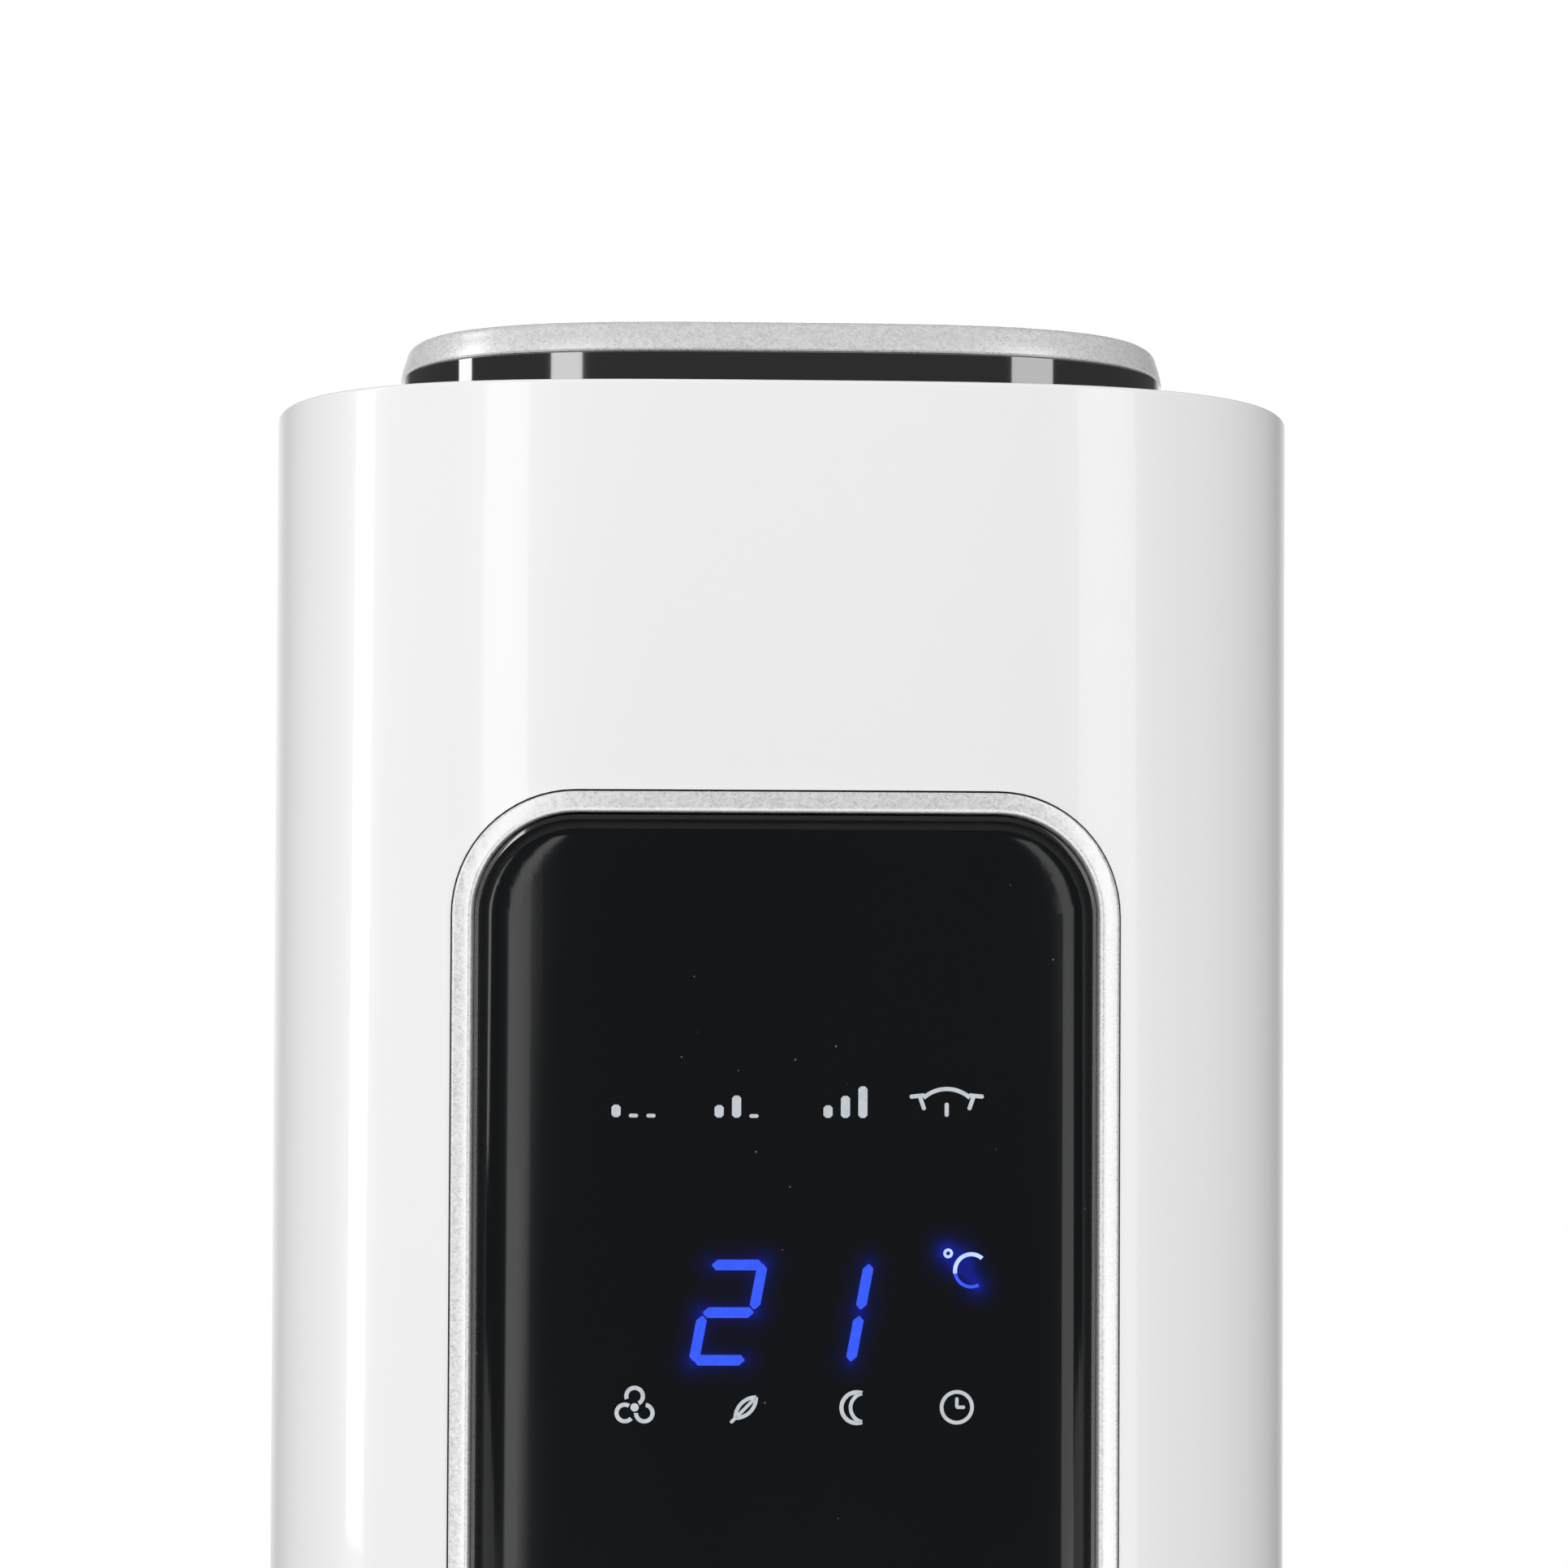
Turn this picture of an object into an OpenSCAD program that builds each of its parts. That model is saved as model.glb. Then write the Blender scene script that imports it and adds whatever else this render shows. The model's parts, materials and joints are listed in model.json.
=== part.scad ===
// Tower fan: a column with a cross-flow impeller that swings on a round base.
// Millimetres. +Z is up, the front faces -Y, and the origin is on the floor under the swing axis.

/* [Overall] */
// Height from the floor to the top of the cap
total_h = 1100; // [950:10:1300]
// Width of the column
body_w = 170; // [160:1:210]
// Depth of the column, front to back
body_d = 140; // [136:1:170]
// Squareness of the column's plan: 2 is an ellipse, and larger is squarer
plan_power = 3.5; // [2.8:0.1:4]
// Wall of the white shells
shell_wall = 2.8; // [2:0.1:3.5]
// Where the front and rear shells meet, behind the swing axis
split_y = 20; // [10:1:30]

/* [Base] */
// Diameter of the base
base_dia = 300; // [260:5:360]
// Height of the base cover's flat top above the floor
base_h = 30; // [26:1:36]
// Height of the base's upright edge above the floor
base_edge_h = 14; // [14:1:17]
// Wall of the base cover
base_wall = 2.6; // [2:0.1:3.2]
// Thickness of the base plate
plate_t = 3; // [2:0.5:4]
// How far the rubber feet stand below the base
foot_h = 3; // [2:0.5:4]
// Diameter of a rubber foot
foot_dia = 18; // [12:1:22]
// Thickness of the steel ballast ring
ballast_t = 8; // [4:1:10]
// Outer diameter of the black neck between base and column
neck_dia = 132; // [128:1:134]
// Radius of the lead's way through the gland
lead_bore_r = 3.6; // [3:0.1:4]

/* [Swing drive] */
// Gear module of the sector and the pinion
gear_module = 1.25; // [1.2:0.01:1.3]
// Teeth on the full circle of the sector gear
sector_teeth = 45; // [43:2:47]
// Teeth on the pinion, an odd number
pinion_teeth = 15; // [15:2:17]
// Width of the gear faces
gear_t = 5; // [4:0.5:5.5]
// Play between the teeth, as a length on the pitch circle
gear_play = 0.2; // [0.1:0.05:0.3]
// Radius of the pivot post
post_r = 11; // [10:0.5:11.5]
// Radius of the swing motor
swing_motor_r = 21; // [19:0.5:21.5]

/* [Air path] */
// Outer radius of the impeller
impeller_r = 46; // [40:1:47]
// Radial depth of the impeller blades
blade_depth = 10; // [8:1:12]
// Thickness of an impeller blade
blade_t = 1.2; // [1:0.1:1.6]
// Blades around the impeller
blade_count = 30; // [24:1:34]
// Impeller segments stacked on each other
segment_count = 5; // [5]
// Impeller axis, behind the swing axis
impeller_y = 4; // [2:1:6]
// Radius of the impeller's shafts
shaft_r = 4; // [3:0.5:5]
// Radius of the fan motor
motor_r = 44; // [40:1:46]
// Height of the fan motor
motor_h = 60; // [50:1:64]

/* [Front] */
// Outer width of the silver frame
bezel_w = 102; // [96:0.2:110]
// Visible width of the silver frame's face
bezel_face = 3.4; // [2.6:0.1:4.2]
// Outer corner radius of the silver frame
bezel_r = 18.8; // [14:0.2:24]
// Distance from the rim of the column to the top of the silver frame
bezel_drop = 62.4; // [54:0.2:76]
// How deep the silver frame reaches into the column
bezel_depth = 13; // [11:0.5:15]
// Height of the glossy display lens
lens_h = 158; // [150:1:180]
// Thickness of the display lens
lens_t = 2.6; // [2:0.1:3.2]
// Fins across the outlet grille
fin_count = 17; // [13:2:21]
// Thickness of an outlet fin
fin_t = 1.8; // [1.4:0.1:2.2]

/* [Rear] */
// Width of the intake grille
intake_w = 108; // [96:2:112]
// Intake bars
bar_count = 21; // [17:2:23]
// Width of an intake bar
bar_t = 2.6; // [2:0.1:3]
// Width of the carrying grip
grip_w = 92; // [80:1:100]
// Height of the carrying grip
grip_h = 36; // [32:1:42]
// Depth of the carrying grip
grip_d = 24; // [20:1:25]

/* [Cap] */
// Width of the cap
cap_w = 131; // [124:1:135]
// Depth of the cap, front to back
cap_d = 100; // [96:1:108]
// Height of the black band above the rim
band_h = 8.4; // [6:0.2:10]
// Height of the silver ring
ring_h = 5; // [4:0.5:6]
// Width of the silver ring's top
ring_face = 5; // [4:0.5:6]
// Radius of the middle button
main_button_r = 10; // [8:0.5:11]
// Radius of the four outer buttons
button_r = 7; // [6:0.5:8]
// Travel of a button
button_travel = 0.8; // [0.5:0.1:1]

/* [Hidden] */
plan_steps = 72;
ring_steps = 60;
fit = 0.3;            // gap between fixed pieces that slip together
run_gap = 0.05;       // radial gap of a shaft in its bush
lift_gap = 0.2;       // height gap under a sliding or turning face
cut = 1;              // how far a cutter runs past what it cuts
screw_r = 1.5;
screw_head_r = 3.2;
screw_head_h = 2;

// Heights above the floor
neck_h = 7;
column_z0 = base_h + neck_h + 1;
rim_z = total_h - band_h - ring_h;
platform_t = 4;
motor_plate_z = column_z0 + platform_t + 46 + motor_h + 4;
motor_plate_t = 3;
bezel_z1 = rim_z - bezel_drop;
bezel_z0 = column_z0 + bezel_drop;
lens_z0 = bezel_z1 - bezel_face - lens_h;
bearing_plate_z = lens_z0 + 2;
bearing_plate_t = 3;
cap_z0 = rim_z + band_h;

// Column plan
chassis_inset = shell_wall + fit;
chassis_y0 = front_y(bezel_w / 2) + bezel_depth + 1;

// Base
base_r = base_dia / 2;
dome_r = neck_dia / 2 + 6;
plate_z1 = foot_h + plate_t;
foot_ring_r = base_r - 22;
base_screw_ring_r = base_r - 21;
base_screw_count = 6;
foot_count = 6;
ballast_r0 = 62;
ballast_r1 = base_screw_ring_r - 10;
gland_r = lead_bore_r + 1.6;
gland_flange = 1.4;   // how far the gland's inner flange stands out
gland_boss = 1.8;
gland_z = foot_h + gland_r + gland_boss;
gland_length = 9;     // with the flange, which is 1 mm thick
gland_r0 = base_r - gland_length - 0.5;
pivot_flange_r = 34;
pivot_screw_r = 26;

// Pivot
post_bore = 7;
hub_r = post_r + 4;
hub_h = 12;
post_z1 = column_z0 + hub_h + lift_gap;
washer_w = 10;
washer_r1 = neck_dia / 2 - 3.8;

// Gears
pressure = 20;
gear_reach = gear_module * (sector_teeth + pinion_teeth) / 2;
addendum = 0.8 * gear_module;
dedendum = 1.1 * gear_module;
sector_half_teeth = 7;
swing_shaft_r = 2.5;
swing_motor_h = 15;

// Impeller
impeller_z0 = motor_plate_z + motor_plate_t + 22;
impeller_z1 = bearing_plate_z - 9;
segment_h = (impeller_z1 - impeller_z0) / segment_count;
disc_t = 2.5;
hub_radius = 14;
shaft_z0 = motor_plate_z - motor_h + 4;
bush_r = shaft_r + 4;
cushion_r = bush_r + 6;
bearing_h = 12;
outlet_half = bezel_w / 2 - bezel_face - 3;
duct_wall = 2;
scroll_a0 = 55;
scroll_a1 = -35;
scroll_steps = 14;

// Front
opening_w = bezel_w - 2 * bezel_face;
opening_r = bezel_r - bezel_face;
opening_z0 = bezel_z0 + bezel_face;
opening_z1 = bezel_z1 - bezel_face;
bezel_proud = 0.8;
lens_sink = 0.2;
grille_sink = 0.8;
grille_rim = 3;
fin_depth = 9;
grille_z1 = lens_z0 - 0.4;
tie_pitch = 58;
board_t = 1.6;
board_gap = 9;
board_w = 82;
board_h = lens_h - 24;
board_y = -body_d / 2 + lens_sink + lens_t + board_gap;
board_z = lens_z0 + lens_h / 2;
digit_w = 62;
digit_h = 26;
digit_drop = 74.6;     // centre of the digits below the lens's top

// Rear
intake_z0 = motor_plate_z + motor_plate_t + 3;
intake_z1 = bearing_plate_z - 4;
intake_r = 12;
grille_wall = 2.4;
rib_pitch = 46;
grip_z = rim_z - 105;
grip_wall = 2;
grip_r = 12;
screw_x = body_w / 2 - 13;
shell_screw_z = [for (i = [0:4]) column_z0 + 40 + i * (rim_z - column_z0 - 90) / 4];
boss_r = 4.6;
screw_seat_y = split_y + 14;
post_back = 14;

// Cap
ledge_w = 5;
panel_t = 4.2;
button_lip = 1.4;
lip_t = 1.5;
button_proud = 0.8;
stem_r = 1.5;
switch_size = 6.2;
switch_h = 3.6;
board_drop = 8;      // control board's top below the panel's underside
button_spots = [[0, 0], [-34, 0], [34, 0], [0, -27], [0, 27]];
boss_spots = [for (sx = [-1, 1], sy = [-1, 1]) [sx * 38, sy * 22]];

SEGMENTS = [for (i = [1:segment_count]) str("impeller_segment_", i)];
BUTTONS = ["power_button", "mode_button", "speed_button", "swing_button", "timer_button"];

// ---------- Shared shapes ----------

function side(v) = v < 0 ? -1 : 1;

// A point of a superellipse of half-sizes a and b
function plan_point(a, b, t) = [
    a * side(cos(t)) * pow(abs(cos(t)), 2 / plan_power),
    b * side(sin(t)) * pow(abs(sin(t)), 2 / plan_power)];

// Where the column's front surface lies at a distance x from the middle
function front_y(x) = -body_d / 2 * pow(1 - pow(abs(x) / (body_w / 2), plan_power), 1 / plan_power);

module superellipse(a, b, steps) {
    polygon([for (i = [0:steps - 1]) plan_point(a, b, 360 * i / steps)]);
}

module plan(inset = 0) {
    superellipse(body_w / 2 - inset, body_d / 2 - inset, plan_steps);
}

module cap_plan(inset = 0) {
    superellipse(cap_w / 2 - inset, cap_d / 2 - inset, ring_steps);
}

// The column's plan without the strip that the front frame fills
module chassis_plan(inset = chassis_inset) {
    intersection() {
        plan(inset);
        translate([-body_w, chassis_y0]) square([2 * body_w, 2 * body_d]);
    }
}

module layer(z0, z1) {
    translate([0, 0, z0]) linear_extrude(z1 - z0) children();
}

module tube(r1, r0, z0, z1) {
    difference() {
        translate([0, 0, z0]) cylinder(r = r1, h = z1 - z0, $fn = 96);
        translate([0, 0, z0 - cut]) cylinder(r = r0, h = z1 - z0 + 2 * cut, $fn = 96);
    }
}

module rounded_rect(w, z0, z1, r) {
    translate([-w / 2 + r, z0]) square([w - 2 * r, z1 - z0]);
    translate([-w / 2, z0 + r]) square([w, z1 - z0 - 2 * r]);
    for (x = [-w / 2 + r, w / 2 - r], z = [z0 + r, z1 - r])
        translate([x, z]) circle(r = r, $fn = 48);
}

// Children drawn in X and Z, pushed through the column from y0 to y1
module through_y(y0, y1) {
    translate([0, y1, 0]) rotate([90, 0, 0]) linear_extrude(y1 - y0) children();
}

module pin_y(r, y0, y1) {
    translate([0, y0, 0]) rotate([-90, 0, 0]) cylinder(r = r, h = y1 - y0, $fn = 32);
}

// A pan-head screw pointing down, its head's underside at z = 0
module screw_down(length) {
    difference() {
        cylinder(r = screw_head_r, h = screw_head_h, $fn = 32);
        for (a = [0, 90]) rotate(a)
            translate([-1.9, -0.4, screw_head_h - 1]) cube([3.8, 0.8, 1 + cut]);
    }
    translate([0, 0, -length]) cylinder(r = screw_r, h = length + 0.01, $fn = 24);
}

module on_ring(count, radius, start = 0) {
    for (i = [0:count - 1]) rotate(start + 360 * i / count) translate([radius, 0, 0]) children();
}

// ---------- Base ----------

function dome(r1, r0, z0, z1, steps = 12) =
    [for (i = [0:steps]) let (t = 90 * i / steps) [r0 + (r1 - r0) * cos(t), z0 + (z1 - z0) * sin(t)]];

module base_cover() color("white") {
    difference() {
        union() {
            rotate_extrude($fn = 120) difference() {
                polygon(concat([[0, foot_h], [base_r, foot_h]],
                    dome(base_r, dome_r, base_edge_h, base_h), [[0, base_h]]));
                polygon(concat([[0, foot_h - cut], [base_r - base_wall, foot_h - cut]],
                    dome(base_r - base_wall, dome_r, base_edge_h - 1, base_h - base_wall),
                    [[0, base_h - base_wall]]));
            }
            on_ring(base_screw_count, base_screw_ring_r, 30)
                translate([0, 0, plate_z1]) cylinder(r = 4.5, h = base_screw_top() - plate_z1, $fn = 32);
            rotate(90) translate([gland_r0 + 1, 0, gland_z])
                rotate([0, 90, 0]) cylinder(r = gland_r + gland_boss, h = gland_length - 3, $fn = 32);
        }
        translate([0, 0, base_h - base_wall - cut])
            cylinder(r = post_r + fit, h = base_wall + 2 * cut, $fn = 64);
        on_ring(base_screw_count, base_screw_ring_r, 30)
            translate([0, 0, plate_z1 - cut]) cylinder(r = screw_r, h = 10 + cut, $fn = 24);
        on_ring(3, gear_screw_ring_r(), 210)
            translate([0, 0, base_h - base_wall - cut]) cylinder(r = screw_r, h = 6, $fn = 24);
        rotate(90) translate([gland_r0 - cut, 0, gland_z])
            rotate([0, 90, 0]) cylinder(r = gland_r + run_gap, h = gland_length + 6, $fn = 32);
    }
}

// Height of the cover's inside over the base screws, with 1 mm of the boss buried in the wall
function base_screw_top() =
    let (c = (base_screw_ring_r - 4.5 - dome_r) / (base_r - base_wall - dome_r))
    base_edge_h - 1 + (base_h - base_wall - base_edge_h + 1) * sqrt(1 - c * c) + 0.6;

module base_plate() color("dimgray") {
    difference() {
        translate([0, 0, foot_h])
            cylinder(r = base_r - base_wall - 2 * fit, h = plate_t, $fn = 120);
        on_ring(base_screw_count, base_screw_ring_r, 30)
            translate([0, 0, foot_h - cut]) cylinder(r = screw_r + fit, h = plate_t + 2 * cut, $fn = 24);
        on_ring(base_screw_count, base_screw_ring_r, 30)
            translate([0, 0, foot_h - cut]) cylinder(r = screw_head_r + fit, h = cut + 1, $fn = 32);
        on_ring(foot_count, foot_ring_r)
            translate([0, 0, foot_h - cut]) cylinder(r = foot_dia / 2 + fit, h = cut + 1, $fn = 48);
        on_ring(3, pivot_screw_r) {
            translate([0, 0, foot_h - cut]) cylinder(r = screw_r + fit, h = plate_t + 2 * cut, $fn = 24);
            translate([0, 0, foot_h - cut]) cylinder(r = screw_head_r + fit, h = cut + 1, $fn = 32);
        }
        translate([-gland_r - gland_boss - fit, gland_r0 - fit, foot_h - cut])
            cube([2 * (gland_r + gland_boss + fit), gland_length + 2, plate_t + 2 * cut]);
    }
}

module base_ballast() color("slategray") tube(ballast_r1, ballast_r0, plate_z1, plate_z1 + ballast_t);

module rubber_feet() color("black")
    on_ring(foot_count, foot_ring_r) {
        cylinder(r = foot_dia / 2, h = foot_h + 1, $fn = 48);
    }

module base_screws() color("silver") {
    on_ring(base_screw_count, base_screw_ring_r, 30)
        translate([0, 0, foot_h + 1]) mirror([0, 0, 1]) screw_down(9);
    on_ring(3, pivot_screw_r) translate([0, 0, foot_h + 1]) mirror([0, 0, 1]) screw_down(plate_t + 2);
}

module base_trim_ring() color("silver") tube(dome_r, neck_dia / 2 + fit, base_h, base_h + 2.6);

module base_neck() color("black") tube(neck_dia / 2, washer_r1 + fit, base_h, base_h + neck_h);

module pivot_post() color("lightgray") {
    difference() {
        union() {
            translate([0, 0, plate_z1]) cylinder(r = pivot_flange_r, h = 4, $fn = 64);
            translate([0, 0, plate_z1]) cylinder(r = post_r, h = post_z1 - plate_z1, $fn = 64);
        }
        translate([0, 0, plate_z1 - cut]) cylinder(r = post_bore, h = post_z1, $fn = 48);
        on_ring(3, (post_r + post_bore) / 2)
            translate([0, 0, post_z1 - 8]) cylinder(r = 1, h = 8 + cut, $fn = 24);
        on_ring(3, pivot_screw_r)
            translate([0, 0, plate_z1 - cut]) cylinder(r = screw_r, h = 4 + 2 * cut, $fn = 24);
    }
}

module thrust_washer() color("ivory")
    tube(washer_r1, washer_r1 - washer_w, base_h, column_z0 - lift_gap);

function involute(a) = tan(a) * 180 / PI - a;
function tooth_half_angle(r, teeth, base_circle) =
    90 / teeth + involute(pressure) - involute(acos(min(1, base_circle / r)))
    - 90 * gear_play / (PI * gear_module * teeth / 2) / 2;

module gear_tooth(teeth) {
    pitch_r = gear_module * teeth / 2;
    base_circle = pitch_r * cos(pressure);
    root = pitch_r - dedendum;
    tip = pitch_r + addendum;
    start = max(root, base_circle);
    radii = concat([root - 0.4], [for (i = [0:5]) start + (tip - start) * i / 5]);
    right = [for (r = radii) let (h = tooth_half_angle(max(r, start), teeth, base_circle))
        [r * cos(-h), r * sin(-h)]];
    left = [for (i = [len(radii) - 1:-1:0])
        let (r = radii[i], h = tooth_half_angle(max(r, start), teeth, base_circle)) [r * cos(h), r * sin(h)]];
    polygon(concat(right, left));
}

function gear_root(teeth) = gear_module * teeth / 2 - dedendum;
function gear_screw_ring_r() = (post_r + gear_root(sector_teeth)) / 2;

module sector_gear() color("ivory") {
    difference() {
        union() {
            layer(base_h, base_h + gear_t) circle(r = gear_root(sector_teeth), $fn = 96);
            layer(base_h, base_h + gear_t)
                for (i = [-sector_half_teeth:sector_half_teeth])
                    rotate(90 + i * 360 / sector_teeth) gear_tooth(sector_teeth);
        }
        translate([0, 0, base_h - cut]) cylinder(r = post_r + fit, h = gear_t + 2 * cut, $fn = 64);
        on_ring(3, gear_screw_ring_r(), 210) {
            translate([0, 0, base_h - cut]) cylinder(r = screw_r + fit, h = gear_t + 2 * cut, $fn = 24);
            translate([0, 0, base_h + gear_t - screw_head_h])
                cylinder(r = screw_head_r + fit, h = screw_head_h + cut, $fn = 32);
        }
    }
}

module gear_screws() color("silver")
    on_ring(3, gear_screw_ring_r(), 210)
        translate([0, 0, base_h + gear_t - screw_head_h]) screw_down(5);

module retaining_disc() color("silver") {
    difference() {
        tube(hub_r, post_bore - 1.5, post_z1, post_z1 + 2);
        on_ring(3, (post_r + post_bore) / 2)
            translate([0, 0, post_z1 - cut]) cylinder(r = 1, h = 2 + 2 * cut, $fn = 24);
    }
}

module retaining_screws() color("dimgray")
    on_ring(3, (post_r + post_bore) / 2) {
        translate([0, 0, post_z1 + 2]) cylinder(r = 1.9, h = 1.4, $fn = 32);
        translate([0, 0, post_z1 - 6]) cylinder(r = 1, h = 8.1, $fn = 24);
    }

module cord_gland() color("black")
    rotate(90) translate([gland_r0, 0, gland_z]) rotate([0, 90, 0]) difference() {
        union() {
            cylinder(r = gland_r, h = gland_length, $fn = 32);
            cylinder(r = gland_r + gland_flange, h = 1, $fn = 32);
        }
        translate([0, 0, -cut]) cylinder(r = lead_bore_r, h = gland_length + 2 * cut, $fn = 32);
    }

// ---------- Column shells ----------

module column_tube() {
    difference() {
        layer(column_z0, rim_z) plan();
        layer(column_z0 - cut, rim_z - shell_wall) plan(shell_wall);
        layer(rim_z - shell_wall - cut, rim_z + cut) cap_plan(-fit);
    }
}

module screw_spots() {
    for (x = [-screw_x, screw_x], z = shell_screw_z) translate([x, 0, z]) children();
}

module front_shell() color("white") {
    difference() {
        union() {
            intersection() {
                column_tube();
                translate([-body_w, -body_d, 0]) cube([2 * body_w, body_d + split_y, total_h]);
            }
            intersection() {
                screw_spots() translate([-boss_r, split_y - post_back, -boss_r])
                    cube([2 * boss_r, post_back, 2 * boss_r]);
                layer(column_z0, rim_z) plan(shell_wall / 2);
            }
            intersection() {
                for (x = [-1, 1], z = shell_screw_z)
                    translate([x > 0 ? screw_x : -body_w / 2, split_y - post_back, z - 1])
                        cube([body_w / 2 - screw_x, post_back, 2]);
                layer(column_z0, rim_z) plan(shell_wall / 2);
            }
        }
        through_y(-body_d, 0) rounded_rect(bezel_w + 2 * fit, bezel_z0 - fit, bezel_z1 + fit, bezel_r + fit);
        screw_spots() pin_y(screw_r, split_y - post_back + 3, split_y + cut);
    }
}

module rear_shell() color("white") {
    difference() {
        union() {
            intersection() {
                column_tube();
                translate([-body_w, split_y + 0.1, 0]) cube([2 * body_w, body_d, total_h]);
            }
            intersection() {
                screw_spots() pin_y(boss_r, split_y + 0.1, body_d / 2);
                layer(column_z0, rim_z) plan(shell_wall / 2);
            }
        }
        through_y(split_y + 12, body_d)
            rounded_rect(intake_w + 2 * fit, intake_z0 - fit, intake_z1 + fit, intake_r + fit);
        through_y(split_y + 12, body_d)
            rounded_rect(grip_w + 2 * fit, grip_z - grip_h / 2 - fit, grip_z + grip_h / 2 + fit, grip_r + fit);
        screw_spots() pin_y(screw_r + fit, split_y - cut, body_d / 2);
        screw_spots() pin_y(screw_head_r + fit, screw_seat_y, body_d);
    }
}

module shell_screws() color("silver")
    screw_spots() translate([0, screw_seat_y, 0]) rotate([-90, 0, 0]) screw_down(screw_seat_y - split_y + 9);

// ---------- Front ----------

// A slab that follows the column's front, from a depth below it to a deeper one
module front_band(depth0, depth1, z0, z1) {
    intersection() {
        layer(z0, z1) difference() {
            translate([0, depth0]) plan();
            translate([0, depth1]) plan();
        }
        translate([-body_w, -body_d, z0]) cube([2 * body_w, body_d - 8, z1 - z0]);
    }
}

module bezel_frame() color("silver")
    intersection() {
        front_band(-bezel_proud, bezel_depth, bezel_z0 - cut, bezel_z1 + cut);
        through_y(-body_d, 0) difference() {
            rounded_rect(bezel_w, bezel_z0, bezel_z1, bezel_r);
            rounded_rect(opening_w, opening_z0, opening_z1, opening_r);
        }
    }

module display_lens() color("black") {
    intersection() {
        front_band(lens_sink, lens_sink + lens_t, lens_z0, opening_z1);
        through_y(-body_d, 0)
            rounded_rect(opening_w - 2 * fit, opening_z0 + fit, opening_z1 - fit, opening_r - fit);
    }
    for (x = [-1, 1], z = [-1, 1])
        translate([x * (board_w / 2 - 5), 0, board_z + z * (board_h / 2 - 6)]) intersection() {
            pin_y(3, -body_d / 2, board_y);
            translate([-x * (board_w / 2 - 5), lens_sink + lens_t / 2, -board_h]) layer(0, 2 * board_h) plan();
        }
}

module grille_region(inset) {
    intersection() {
        rounded_rect(opening_w - 2 * fit - 2 * inset, opening_z0 + fit + inset, opening_z1, opening_r - fit - inset);
        translate([-body_w, 0]) square([2 * body_w, grille_z1 - inset]);
    }
}

module front_grille() color("black") {
    intersection() {
        front_band(grille_sink, grille_sink + fin_depth, opening_z0, grille_z1);
        through_y(-body_d, 0) difference() {
            grille_region(0);
            grille_region(grille_rim);
        }
    }
    intersection() {
        layer(opening_z0, grille_z1)
            for (i = [0:fin_count - 1])
                let (x = (i - (fin_count - 1) / 2) * (opening_w - 2 * grille_rim) / fin_count,
                     y = front_y(x) + grille_sink + 0.6)
                    translate([x - fin_t / 2, y]) square([fin_t, fin_depth - 1]);
        through_y(-body_d, 0) grille_region(grille_rim / 2);
    }
    intersection() {
        for (z = [opening_z0 + tie_pitch:tie_pitch:grille_z1 - tie_pitch / 2])
            front_band(grille_sink + fin_depth - 3, grille_sink + fin_depth, z, z + 1.6);
        through_y(-body_d, 0) grille_region(grille_rim / 2);
    }
}

module display_board() color("darkgreen")
    translate([-board_w / 2, board_y, board_z - board_h / 2]) cube([board_w, board_t, board_h]);

module digit_module() color("black")
    translate([-digit_w / 2 + 6, board_y - board_gap + lens_t, opening_z1 - digit_drop - digit_h / 2])
        cube([digit_w, board_gap - lens_t, digit_h]);

module remote_receiver() color("black")
    translate([26, board_y, lens_z0 + 34]) {
        translate([-3, -4, -4]) cube([6, 4, 8]);
        rotate([90, 0, 0]) translate([0, 0, 4]) cylinder(r = 2.4, h = 1.4, $fn = 32);
    }

// ---------- Rear ----------

module rear_band(inset0, inset1, z0, z1) {
    intersection() {
        layer(z0, z1) difference() {
            plan(inset0);
            plan(inset1);
        }
        translate([-body_w, split_y + 12, z0]) cube([2 * body_w, body_d, z1 - z0]);
    }
}

module intake_grille() color("white") {
    intersection() {
        rear_band(fit, fit + grille_wall + 1, intake_z0, intake_z1);
        through_y(0, body_d) difference() {
            rounded_rect(intake_w, intake_z0, intake_z1, intake_r);
            rounded_rect(intake_w - 6, intake_z0 + 3, intake_z1 - 3, intake_r - 3);
        }
    }
    intersection() {
        layer(intake_z0, intake_z1) intersection() {
            difference() {
                plan(fit + 0.4);
                plan(fit + 0.4 + grille_wall);
            }
            for (i = [0:bar_count - 1])
                translate([(i - (bar_count - 1) / 2) * (intake_w - 6) / bar_count - bar_t / 2, 0])
                    square([bar_t, body_d]);
        }
        through_y(0, body_d) rounded_rect(intake_w - 3, intake_z0 + 1.5, intake_z1 - 1.5, intake_r - 1.5);
    }
    intersection() {
        for (z = [intake_z0 + rib_pitch:rib_pitch:intake_z1 - rib_pitch / 2])
            rear_band(fit + 1, fit + grille_wall + 1, z, z + 2);
        through_y(0, body_d) rounded_rect(intake_w - 3, intake_z0 + 1.5, intake_z1 - 1.5, intake_r - 1.5);
    }
}

module grip_cup() color("whitesmoke")
    intersection() {
        difference() {
            through_y(body_d / 2 - grip_d - grip_wall, body_d)
                rounded_rect(grip_w, grip_z - grip_h / 2, grip_z + grip_h / 2, grip_r);
            through_y(body_d / 2 - grip_d, body_d + cut)
                rounded_rect(grip_w - 2 * grip_wall, grip_z - grip_h / 2 + grip_wall,
                    grip_z + grip_h / 2 - grip_wall, grip_r - grip_wall);
        }
        layer(column_z0, rim_z) plan();
    }

// ---------- Cap ----------

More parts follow.
